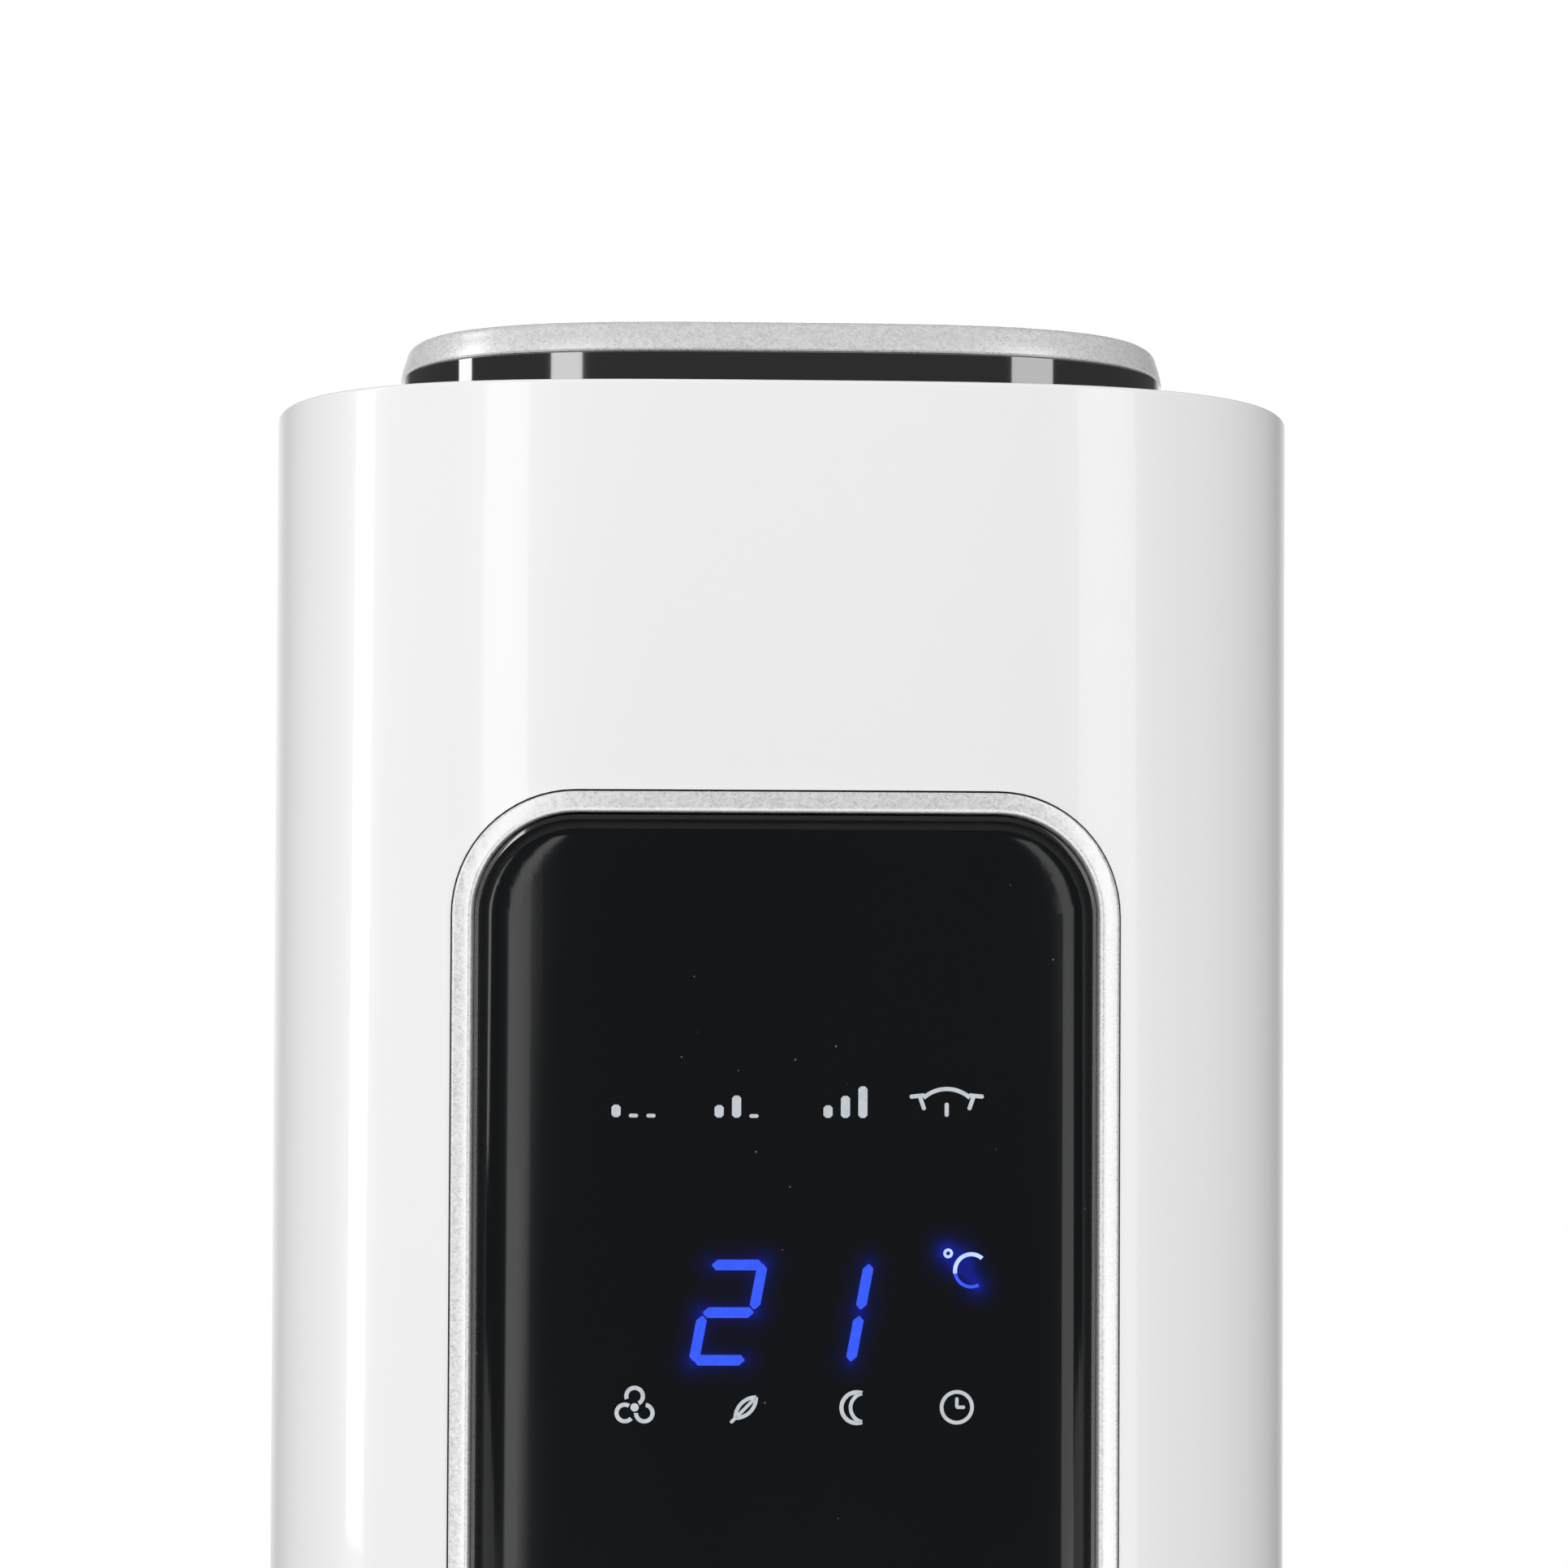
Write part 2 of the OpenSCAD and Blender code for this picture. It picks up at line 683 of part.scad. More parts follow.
module neck_band() color("black") {
    layer(rim_z - shell_wall - 3, cap_z0) difference() {
        cap_plan();
        cap_plan(2.4);
    }
    layer(rim_z - shell_wall - fit - 2, rim_z - shell_wall - fit) difference() {
        cap_plan(-4);
        cap_plan(2);
    }
    layer(cap_z0 - 2, cap_z0) difference() {
        cap_plan(2);
        cap_plan(ring_face + ledge_w);
    }
}

module top_trim_ring() color("silver")
    layer(cap_z0, cap_z0 + ring_h) difference() {
        cap_plan();
        cap_plan(ring_face);
    }

module button_holes(extra) {
    for (i = [0:len(button_spots) - 1])
        translate(button_spots[i]) circle(r = (i == 0 ? main_button_r : button_r) + extra, $fn = 64);
}

module control_panel() color("black") {
    difference() {
        union() {
            layer(cap_z0, cap_z0 + panel_t) difference() {
                cap_plan(ring_face + fit / 2);
                button_holes(fit);
            }
            for (p = boss_spots)
                translate([p.x, p.y, cap_z0 - board_drop]) cylinder(r = 3, h = board_drop + 1, $fn = 32);
        }
        for (p = boss_spots)
            translate([p.x, p.y, cap_z0 - board_drop - cut]) cylinder(r = 1.2, h = 8 + cut, $fn = 24);
    }
}

module button(i) color("black") {
    r = i == 0 ? main_button_r : button_r;
    lip_z = cap_z0 - lift_gap - lip_t;
    stem_z = cap_z0 - board_drop + switch_h - fit;
    translate(button_spots[i]) {
        translate([0, 0, lip_z]) cylinder(r = r, h = cap_z0 + panel_t + button_proud - lip_z, $fn = 64);
        translate([0, 0, lip_z]) cylinder(r = r + button_lip, h = lip_t, $fn = 64);
        translate([0, 0, stem_z]) cylinder(r = stem_r, h = lip_z - stem_z + 0.5, $fn = 32);
    }
}

module control_board() color("darkgreen")
    layer(cap_z0 - board_drop - board_t, cap_z0 - board_drop) difference() {
        cap_plan(ring_face + ledge_w + 4);
        for (p = boss_spots) translate(p) circle(r = 1.2 + fit, $fn = 24);
    }

module tact_switches() color("dimgray")
    for (p = button_spots)
        translate([p.x, p.y, cap_z0 - board_drop]) difference() {
            translate([-switch_size / 2, -switch_size / 2, 0]) cube([switch_size, switch_size, switch_h]);
            translate([0, 0, 1]) cylinder(r = stem_r + fit, h = switch_h, $fn = 32);
        }

module panel_screws() color("silver")
    for (p = boss_spots)
        translate([p.x, p.y, cap_z0 - board_drop - board_t]) mirror([0, 0, 1]) {
            cylinder(r = 2.4, h = 1.6, $fn = 32);
            translate([0, 0, -6]) cylinder(r = 1.2, h = 6.1, $fn = 24);
        }

// ---------- Swing drive ----------

module swing_platform() color("gray") {
    difference() {
        union() {
            layer(column_z0, column_z0 + platform_t) plan(chassis_inset);
            layer(column_z0, column_z0 + 14) difference() {
                plan(chassis_inset);
                plan(chassis_inset + 2.4);
            }
            translate([0, 0, column_z0]) cylinder(r = hub_r, h = hub_h, $fn = 64);
        }
        translate([0, 0, column_z0 - cut]) cylinder(r = post_r + run_gap, h = hub_h + 2 * cut, $fn = 64);
        translate([0, gear_reach, column_z0 - cut]) cylinder(r = 5, h = platform_t + 2 * cut, $fn = 32);
        swing_motor_ears() translate([0, 0, column_z0 - cut]) cylinder(r = screw_r, h = platform_t + 2 * cut, $fn = 24);
    }
}

module swing_motor_ears() {
    for (x = [-1, 1]) translate([x * (swing_motor_r + 4), gear_reach, 0]) children();
}

module swing_motor() color("silver") {
    z0 = column_z0 + platform_t;
    difference() {
        union() {
            translate([0, gear_reach, z0]) cylinder(r = swing_motor_r, h = swing_motor_h, $fn = 64);
            translate([-swing_motor_r - 4, gear_reach - 4, z0]) cube([2 * swing_motor_r + 8, 8, 1.5]);
            swing_motor_ears() translate([0, 0, z0]) cylinder(r = 4, h = 1.5, $fn = 32);
        }
        translate([0, gear_reach, z0 - cut]) cylinder(r = swing_shaft_r + run_gap, h = 10 + cut, $fn = 32);
        swing_motor_ears() translate([0, 0, z0 - cut]) cylinder(r = screw_r + fit, h = 4, $fn = 24);
    }
}

module swing_motor_screws() color("silver")
    swing_motor_ears() translate([0, 0, column_z0 + platform_t + 1.5]) screw_down(4.5);

module swing_pinion() color("ivory")
    translate([0, gear_reach, 0]) {
        z0 = base_h + lift_gap;
        translate([0, 0, z0]) linear_extrude(gear_t) {
            circle(r = gear_root(pinion_teeth), $fn = 64);
            for (i = [0:pinion_teeth - 1]) rotate(90 + i * 360 / pinion_teeth) gear_tooth(pinion_teeth);
        }
        translate([0, 0, z0 + gear_t - 0.5])
            cylinder(r = swing_shaft_r, h = column_z0 + platform_t + 8 - z0 - gear_t, $fn = 32);
    }

// ---------- Fan motor and impeller ----------

module on_impeller_axis() {
    translate([0, impeller_y, 0]) children();
}

module mount_spots() {
    for (a = [45:90:315]) rotate(a) translate([motor_r - 8, 0, 0]) children();
}

module motor_plate() color("gray") {
    z0 = motor_plate_z;
    difference() {
        layer(z0, z0 + motor_plate_t) chassis_plan();
        on_impeller_axis() translate([0, 0, z0 - cut]) cylinder(r = hub_radius + 3, h = motor_plate_t + 2 * cut, $fn = 48);
        on_impeller_axis() mount_spots()
            translate([0, 0, z0 - cut]) cylinder(r = 2.4, h = motor_plate_t + 2 * cut, $fn = 24);
    }
}

module motor_mounts() color("black")
    on_impeller_axis() mount_spots() {
        translate([0, 0, motor_plate_z - 4]) cylinder(r = 6, h = 4, $fn = 32);
        translate([0, 0, motor_plate_z - 0.5]) cylinder(r = 2.4, h = motor_plate_t + 0.5, $fn = 24);
        translate([0, 0, motor_plate_z + motor_plate_t]) cylinder(r = 4.4, h = 2.2, $fn = 32);
    }

module motor_housing() color("silver") {
    z1 = motor_plate_z - 4;
    on_impeller_axis() difference() {
        translate([0, 0, z1 - motor_h]) cylinder(r = motor_r, h = motor_h, $fn = 96);
        translate([0, 0, z1 - motor_h + 14]) cylinder(r = 22, h = motor_h - 28, $fn = 64);
        translate([0, 0, z1 - motor_h + 6]) cylinder(r = shaft_r + run_gap, h = motor_h, $fn = 48);
    }
}

module motor_shaft() color("silver")
    on_impeller_axis() translate([0, 0, motor_plate_z - 4 - motor_h + 8])
        cylinder(r = shaft_r, h = impeller_z0 - 2 - (motor_plate_z - 4 - motor_h + 8), $fn = 48);

module motor_core() color("dimgray")
    on_impeller_axis()
        tube(21.4, shaft_r, motor_plate_z - 4 - motor_h + 16, motor_plate_z - 4 - 16);

module drive_hub() color("black")
    on_impeller_axis() difference() {
        translate([0, 0, impeller_z0 - 16]) cylinder(r = hub_radius, h = 16, $fn = 48);
        translate([0, 0, impeller_z0 - 16 - cut]) cylinder(r = shaft_r, h = 14 + cut, $fn = 48);
    }

// One curved blade: an arc that leans forward from the inner to the outer radius
module blade_plan() {
    lean = 24;
    steps = 4;
    function mid(s) = let (r = impeller_r - blade_depth * (1 - s), a = lean * (s * s - s) / 1.6)
        [r * cos(a), r * sin(a)];
    inner = [for (i = [0:steps]) let (p = mid(i / steps)) [p.x, p.y - blade_t / 2]];
    outer = [for (i = [steps:-1:0]) let (p = mid(i / steps)) [p.x, p.y + blade_t / 2]];
    polygon(concat(inner, outer));
}

module impeller_segment(i) color("lightgray") {
    z0 = impeller_z0 + (i - 1) * segment_h;
    on_impeller_axis() {
        layer(z0, z0 + disc_t) difference() {
            circle(r = impeller_r + 0.4, $fn = 96);
            if (i > 1) circle(r = impeller_r - blade_depth - 3, $fn = 96);
        }
        layer(z0 + disc_t - 0.5, z0 + segment_h)
            for (k = [0:blade_count - 1]) rotate(360 * (k + i * 0.37) / blade_count) blade_plan();
    }
}

module impeller_end_disc() color("lightgray")
    on_impeller_axis() {
        difference() {
            translate([0, 0, impeller_z1]) cylinder(r = impeller_r + 0.4, h = disc_t, $fn = 96);
            translate([0, 0, impeller_z1 - cut]) cylinder(r = shaft_r, h = disc_t + 2 * cut, $fn = 48);
        }
    }

module top_shaft() color("silver")
    on_impeller_axis() {
        translate([0, 0, impeller_z1 - 1]) cylinder(r = shaft_r + 4, h = 1, $fn = 48);
        translate([0, 0, impeller_z1 - 0.5])
            cylinder(r = shaft_r, h = bearing_plate_z + bearing_h - impeller_z1, $fn = 48);
    }

module bearing_plate() color("gray")
    difference() {
        union() {
            layer(bearing_plate_z, bearing_plate_z + bearing_plate_t) chassis_plan();
            on_impeller_axis() translate([0, 0, bearing_plate_z]) cylinder(r = cushion_r + 3, h = bearing_h, $fn = 64);
        }
        on_impeller_axis() translate([0, 0, bearing_plate_z - cut])
            cylinder(r = cushion_r, h = bearing_h + 2 * cut, $fn = 64);
    }

module bearing_cushion() color("black")
    on_impeller_axis() tube(cushion_r, bush_r, bearing_plate_z, bearing_plate_z + bearing_h);

module shaft_bush() color("goldenrod")
    on_impeller_axis() tube(bush_r, shaft_r + run_gap, bearing_plate_z, bearing_plate_z + bearing_h);

function spiral(t, extra) =
    let (a = scroll_a0 + (scroll_a1 - scroll_a0) * t, r = impeller_r + 4 + 9 * t + extra)
    [r * cos(a), impeller_y + r * sin(a)];

// The spiral wall on the right of the impeller, ending at the outlet
module scroll_wall() color("darkgray") {
    inner = [for (i = [0:scroll_steps]) spiral(i / scroll_steps, 0)];
    outer = [for (i = [scroll_steps:-1:0]) spiral(i / scroll_steps, duct_wall)];
    layer(motor_plate_z + motor_plate_t, bearing_plate_z) polygon(concat(
        inner, [[outlet_half, chassis_y0], [outlet_half + duct_wall, chassis_y0]], outer));
}

// The short wall on the left that parts the inflow from the outflow
module vortex_wall() color("darkgray") {
    nose = [-(impeller_r + 5) * cos(25), impeller_y - (impeller_r + 5) * sin(25)];
    layer(motor_plate_z + motor_plate_t, bearing_plate_z) {
        polygon([[-outlet_half, chassis_y0], [nose.x, nose.y], [nose.x - duct_wall, nose.y],
            [-outlet_half - duct_wall, chassis_y0]]);
        polygon([[nose.x, nose.y], [nose.x - 12, nose.y + 12], [nose.x - 13.5, nose.y + 10.5],
            [nose.x - duct_wall, nose.y - 1]]);
        translate([nose.x - duct_wall / 2, nose.y]) circle(r = duct_wall / 2 + 0.2, $fn = 24);
    }
}

module power_board() color("darkgreen")
    translate([-34, 32, bearing_plate_z + bearing_plate_t]) cube([68, board_t, 74]);

module run_capacitor() color("white")
    translate([-20, 32, bearing_plate_z + bearing_plate_t + 30]) rotate([90, 0, 0])
        cylinder(r = 11, h = 22, $fn = 48);

// ---------- Which node to draw ----------

base_cover();
base_plate();
base_ballast();
rubber_feet();
base_screws();
base_trim_ring();
base_neck();
pivot_post();
thrust_washer();
sector_gear();
gear_screws();
retaining_disc();
retaining_screws();
cord_gland();
front_shell();
rear_shell();
shell_screws();
bezel_frame();
display_lens();
front_grille();
intake_grille();
grip_cup();
neck_band();
top_trim_ring();
control_panel();
control_board();
tact_switches();
panel_screws();
display_board();
digit_module();
remote_receiver();
swing_platform();
swing_motor();
swing_motor_screws();
motor_plate();
motor_housing();
motor_mounts();
bearing_plate();
bearing_cushion();
shaft_bush();
scroll_wall();
vortex_wall();
power_board();
run_capacitor();
motor_shaft();
motor_core();
drive_hub();
impeller_end_disc();
top_shaft();
swing_pinion();
for (i = [1:segment_count])
    impeller_segment(i);
for (i = [0:len(BUTTONS) - 1])
    button(i);
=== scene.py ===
"""The looks of a tower fan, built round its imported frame. Lengths are in metres, and the front faces -Y."""

import json
import logging
import math
from collections.abc import Callable, Iterable, Sequence
from dataclasses import dataclass, field
from enum import Enum

import bmesh
import bpy
from mathutils import Matrix, Vector


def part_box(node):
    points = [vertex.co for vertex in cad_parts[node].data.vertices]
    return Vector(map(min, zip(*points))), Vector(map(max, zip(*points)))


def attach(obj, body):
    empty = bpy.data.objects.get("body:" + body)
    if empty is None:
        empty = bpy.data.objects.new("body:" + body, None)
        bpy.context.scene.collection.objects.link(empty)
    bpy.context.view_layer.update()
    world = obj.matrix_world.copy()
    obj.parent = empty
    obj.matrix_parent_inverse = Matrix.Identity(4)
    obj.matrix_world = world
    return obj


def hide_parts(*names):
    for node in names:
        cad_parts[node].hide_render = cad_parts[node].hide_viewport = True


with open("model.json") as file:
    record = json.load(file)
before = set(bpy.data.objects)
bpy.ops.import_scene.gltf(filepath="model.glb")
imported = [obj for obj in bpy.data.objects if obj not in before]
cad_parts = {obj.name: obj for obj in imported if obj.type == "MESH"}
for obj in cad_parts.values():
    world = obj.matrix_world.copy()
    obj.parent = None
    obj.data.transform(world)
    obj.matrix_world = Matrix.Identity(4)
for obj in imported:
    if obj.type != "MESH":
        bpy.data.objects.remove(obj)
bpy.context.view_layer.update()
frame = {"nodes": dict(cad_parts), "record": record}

LOG = logging.getLogger("tower_fan")
MM = 0.001
PLAN_POWER = 3.5
SMOOTH_ANGLE = math.radians(38)

Colour = tuple[float, float, float]
Point2 = tuple[float, float]


# ---------- Finishes ----------

class Pattern(Enum):
    """How a finish breaks up its surface."""

    MOULDED = "moulded"
    METALLIC_PAINT = "metallic_paint"
    POLISHED = "polished"
    SPARK_GRAIN = "spark_grain"
    BRUSHED = "brushed"
    CAST = "cast"
    CIRCUIT = "circuit"


class NodeGraph:
    """A material's node tree with short calls for the nodes that the finishes use."""

    def __init__(self, name: str) -> None:
        """Starts a material with a Principled shader.

        Args:
            name: The material's name.
        """
        self.material = bpy.data.materials.new(name)
        self.material.use_nodes = True
        self.tree = self.material.node_tree
        self.shader = self.tree.nodes["Principled BSDF"]
        self.place = self.add("ShaderNodeTexCoord").outputs["Object"]

    def add(self, kind: str, **settings: object) -> bpy.types.Node:
        """Adds a node.

        Args:
            kind: The node's type name.
            **settings: Properties to set on the node.

        Returns:
            The new node.
        """
        node = self.tree.nodes.new(kind)
        for key, value in settings.items():
            setattr(node, key, value)
        return node

    def join(self, source: bpy.types.NodeSocket, target: bpy.types.NodeSocket) -> None:
        """Links an output to an input."""
        self.tree.links.new(source, target)

    def set(self, **values: object) -> None:
        """Sets uniform values on the shader's own sockets, named with underscores for spaces."""
        for key, value in values.items():
            self.shader.inputs[key.replace("_", " ")].default_value = value

    def stretched(self, scale: Sequence[float]) -> bpy.types.NodeSocket:
        """Returns the object coordinates multiplied by a scale per axis."""
        mapping = self.add("ShaderNodeMapping")
        mapping.inputs["Scale"].default_value = tuple(scale)
        self.join(self.place, mapping.inputs["Vector"])
        return mapping.outputs["Vector"]

    def noise(self, scale: float, detail: float = 2.0, vector: bpy.types.NodeSocket | None = None) -> bpy.types.NodeSocket:
        """Adds a noise texture.

        Args:
            scale: Features per metre, roughly.
            detail: Octaves of finer noise.
            vector: Coordinates, or None for the object's own.

        Returns:
            The noise's value.
        """
        node = self.add("ShaderNodeTexNoise")
        node.inputs["Scale"].default_value = scale
        node.inputs["Detail"].default_value = detail
        self.join(vector or self.place, node.inputs["Vector"])
        return node.outputs["Fac"]

    def cells(self, scale: float, output: str = "Distance") -> bpy.types.NodeSocket:
        """Returns a Voronoi texture's output at a scale in cells per metre."""
        node = self.add("ShaderNodeTexVoronoi")
        node.inputs["Scale"].default_value = scale
        self.join(self.place, node.inputs["Vector"])
        return node.outputs[output]

    def span(self, value: bpy.types.NodeSocket, low: float, high: float,
             source: Point2 = (0.3, 0.7)) -> bpy.types.NodeSocket:
        """Maps a value from one range to another and clamps it.

        Args:
            value: The value to map.
            low: Result at the source range's start.
            high: Result at its end.
            source: The source range.

        Returns:
            The mapped value.
        """
        node = self.add("ShaderNodeMapRange")
        for key, number in (("From Min", source[0]), ("From Max", source[1]), ("To Min", low), ("To Max", high)):
            node.inputs[key].default_value = number
        self.join(value, node.inputs["Value"])
        return node.outputs["Result"]

    def blend(self, factor: bpy.types.NodeSocket, first: Colour, second: Colour) -> bpy.types.NodeSocket:
        """Returns a colour between two by a factor."""
        node = self.add("ShaderNodeMix", data_type="RGBA")
        node.inputs["A"].default_value = (*first, 1)
        node.inputs["B"].default_value = (*second, 1)
        self.join(factor, node.inputs["Factor"])
        return node.outputs["Result"]

    def maths(self, kind: str, first: object, second: object = 0.0) -> bpy.types.NodeSocket:
        """Adds a Math node.

        Args:
            kind: The operation's name.
            first: A socket or a number.
            second: A socket or a number.

        Returns:
            The result.
        """
        node = self.add("ShaderNodeMath", operation=kind)
        for index, value in enumerate((first, second)):
            if isinstance(value, bpy.types.NodeSocket):
                self.join(value, node.inputs[index])
            else:
                node.inputs[index].default_value = value
        return node.outputs[0]

    def bump(self, height: bpy.types.NodeSocket, distance: float, strength: float = 1.0) -> None:
        """Raises the surface by a height, at most the distance in metres."""
        node = self.add("ShaderNodeBump")
        node.inputs["Strength"].default_value = strength
        node.inputs["Distance"].default_value = distance
        self.join(height, node.inputs["Height"])
        self.join(node.outputs["Normal"], self.shader.inputs["Normal"])

    def colour(self, source: bpy.types.NodeSocket) -> None:
        """Links the base colour."""
        self.join(source, self.shader.inputs["Base Color"])

    def roughness(self, source: bpy.types.NodeSocket) -> None:
        """Links the roughness."""
        self.join(source, self.shader.inputs["Roughness"])


@dataclass(frozen=True)
class Finish:
    """One surface finish of the fan."""

    name: str
    base: Colour
    rough: float
    pattern: Pattern
    metallic: float = 0.0
    variation: float = 0.05
    coat: float = 0.0
    coat_ior: float = 1.5
    specular: float = 0.5
    grain: float = 2500.0
    relief: float = 0.00002

    def material(self) -> bpy.types.Material:
        """Builds the finish as a material.

        Returns:
            The material, made once and then reused.
        """
        title = self.name + "_finish"
        known = bpy.data.materials.get(title)
        if known:
            return known
        graph = NodeGraph(title)
        graph.set(Metallic=self.metallic, Coat_Weight=self.coat, Coat_Roughness=0.04,
                  Coat_IOR=self.coat_ior, Specular_IOR_Level=self.specular)
        {
            Pattern.MOULDED: self.moulded,
            Pattern.METALLIC_PAINT: self.metallic_paint,
            Pattern.POLISHED: self.polished,
            Pattern.SPARK_GRAIN: self.spark_grain,
            Pattern.BRUSHED: self.brushed,
            Pattern.CAST: self.cast,
            Pattern.CIRCUIT: self.circuit,
        }[self.pattern](graph)
        return graph.material

    def shade(self, amount: float) -> Colour:
        """Returns the base colour made lighter, or darker for a negative amount."""
        return tuple(min(1.0, max(0.0, channel * (1 + amount))) for channel in self.base)

    def tinted(self, graph: NodeGraph, value: bpy.types.NodeSocket) -> None:
        """Varies the base colour by a value from 0 to 1."""
        graph.colour(graph.blend(value, self.shade(-self.variation), self.shade(self.variation)))

    def moulded(self, graph: NodeGraph) -> None:
        """Injection-moulded plastic: slow flow marks and a faint orange peel."""
        self.tinted(graph, graph.span(graph.noise(6, 2), 0, 1, (0, 1)))
        graph.roughness(graph.span(graph.noise(60, 3), self.rough * 0.85, self.rough * 1.2, (0, 1)))
        graph.bump(graph.noise(self.grain, 2), self.relief)

    def metallic_paint(self, graph: NodeGraph) -> None:
        """Silver paint: fine bright flakes in a satin lacquer."""
        flakes = graph.cells(self.grain, "Color")
        value = graph.add("ShaderNodeSeparateColor")
        graph.join(flakes, value.inputs["Color"])
        clouds = graph.noise(self.grain * 0.35, 3)
        mixed = graph.maths("ADD", graph.maths("MULTIPLY", value.outputs[0], 0.6), graph.maths("MULTIPLY", clouds, 0.4))
        self.tinted(graph, graph.span(mixed, 0, 1, (0.15, 0.85)))
        graph.roughness(graph.span(mixed, self.rough * 0.8, self.rough * 1.25, (0.15, 0.85)))
        graph.bump(mixed, self.relief)

    def polished(self, graph: NodeGraph) -> None:
        """High-gloss plastic: a near mirror with faint smears and a few dust specks."""
        smears = graph.noise(14, 4, graph.stretched((1.0, 1.0, 0.35)))
        dust = graph.span(graph.cells(230), 1, 0, (0.018, 0.04))
        chance = graph.span(graph.noise(37, 1), 0, 1, (0.52, 0.6))
        speck = graph.maths("MULTIPLY", dust, chance)
        graph.colour(graph.blend(graph.maths("MULTIPLY", speck, 0.35), self.base, (0.5, 0.5, 0.5)))
        graph.roughness(graph.span(smears, self.rough * 0.6, self.rough * 1.6))
        graph.bump(graph.noise(5, 1), self.relief)

    def spark_grain(self, graph: NodeGraph) -> None:
        """A fine spark-eroded texture, as on the grille, duct and rubber pieces."""
        grain = graph.noise(self.grain, 3)
        self.tinted(graph, graph.span(grain, 0, 1))
        graph.roughness(graph.span(graph.noise(self.grain * 0.2, 2), self.rough * 0.85, min(1, self.rough * 1.1)))
        graph.bump(grain, self.relief)

    def brushed(self, graph: NodeGraph) -> None:
        """Turned or plated steel: lines round the piece's height."""
        lines = graph.noise(self.grain, 3, graph.stretched((0.06, 0.06, 1.0)))
        self.tinted(graph, graph.span(lines, 0, 1))
        graph.roughness(graph.span(lines, self.rough * 0.7, self.rough * 1.3))
        graph.bump(lines, self.relief)

    def cast(self, graph: NodeGraph) -> None:
        """Cast or laminated metal: a pitted skin."""
        pits = graph.cells(self.grain)
        self.tinted(graph, graph.span(graph.noise(80, 3), 0, 1))
        graph.roughness(graph.span(pits, self.rough, self.rough * 0.7, (0, 0.6)))
        graph.bump(pits, self.relief)

    def circuit(self, graph: NodeGraph) -> None:
        """Solder mask over copper tracks."""
        tracks = graph.add("ShaderNodeTexBrick")
        tracks.inputs["Scale"].default_value = 220
        tracks.inputs["Mortar Size"].default_value = 0.05
        graph.join(graph.place, tracks.inputs["Vector"])
        graph.colour(graph.blend(tracks.outputs["Fac"], self.base, self.shade(0.9)))
        graph.roughness(graph.span(graph.noise(200, 2), self.rough * 0.8, self.rough * 1.2))
        graph.bump(tracks.outputs["Fac"], self.relief)


FINISHES: dict[str, Finish] = {
    "white_gloss": Finish("white_gloss", (0.84, 0.84, 0.845), 0.24, Pattern.MOULDED,
                          variation=0.008, coat=0.5, grain=900, relief=0.000003),
    "silver_satin": Finish("silver_satin", (0.93, 0.93, 0.93), 0.32, Pattern.METALLIC_PAINT,
                           metallic=0.45, variation=0.14, grain=3000, relief=0.000012),
    "black_gloss": Finish("black_gloss", (0.005, 0.005, 0.0055), 0.05, Pattern.POLISHED,
                          coat=1.0, coat_ior=2.3, specular=1.0, relief=0.000005),
    "button_black": Finish("button_black", (0.018, 0.018, 0.02), 0.3, Pattern.SPARK_GRAIN,
                           variation=0.2, grain=3500, relief=0.000008),
    "grille_black": Finish("grille_black", (0.014, 0.014, 0.015), 0.45, Pattern.SPARK_GRAIN,
                           variation=0.25, grain=2500, relief=0.00002),
    "impeller_grey": Finish("impeller_grey", (0.07, 0.07, 0.075), 0.42, Pattern.MOULDED,
                            variation=0.12, grain=1500),
    "duct_black": Finish("duct_black", (0.03, 0.03, 0.032), 0.6, Pattern.SPARK_GRAIN, variation=0.2),
    "rubber_black": Finish("rubber_black", (0.02, 0.02, 0.02), 0.85, Pattern.SPARK_GRAIN,
                           variation=0.25, grain=4000, relief=0.00004),
    "steel_black": Finish("steel_black", (0.03, 0.03, 0.03), 0.5, Pattern.SPARK_GRAIN,
                          variation=0.2, grain=1800, relief=0.00004),
    "ballast_iron": Finish("ballast_iron", (0.12, 0.12, 0.125), 0.8, Pattern.CAST,
                           metallic=0.7, variation=0.25, grain=600, relief=0.0002),
    "zinc_steel": Finish("zinc_steel", (0.62, 0.63, 0.65), 0.32, Pattern.BRUSHED,
                         metallic=1.0, variation=0.08, grain=3000, relief=0.00001),
    "shaft_steel": Finish("shaft_steel", (0.56, 0.56, 0.57), 0.2, Pattern.BRUSHED,
                          metallic=1.0, variation=0.05, grain=4000, relief=0.000005),
    "motor_metal": Finish("motor_metal", (0.55, 0.55, 0.56), 0.4, Pattern.CAST,
                          metallic=0.9, variation=0.1, grain=1200, relief=0.00005),
    "rotor_steel": Finish("rotor_steel", (0.2, 0.2, 0.21), 0.5, Pattern.BRUSHED,
                          metallic=0.9, variation=0.15, grain=2500, relief=0.00004),
    "acetal_ivory": Finish("acetal_ivory", (0.76, 0.72, 0.62), 0.35, Pattern.MOULDED, variation=0.03),
    "bronze": Finish("bronze", (0.5, 0.3, 0.12), 0.4, Pattern.CAST, metallic=1.0, grain=3000, relief=0.00002),
    "circuit_green": Finish("circuit_green", (0.01, 0.09, 0.035), 0.35, Pattern.CIRCUIT),
    "component_black": Finish("component_black", (0.02, 0.02, 0.022), 0.5, Pattern.SPARK_GRAIN),
    "capacitor_white": Finish("capacitor_white", (0.7, 0.7, 0.71), 0.4, Pattern.MOULDED),
}


@dataclass(frozen=True)
class Stroke:
    """A lit line behind the lens and the light that spreads from it."""

    start: Point2
    end: Point2
    weight: float = 0.6
    reach: float = 0.9 * MM


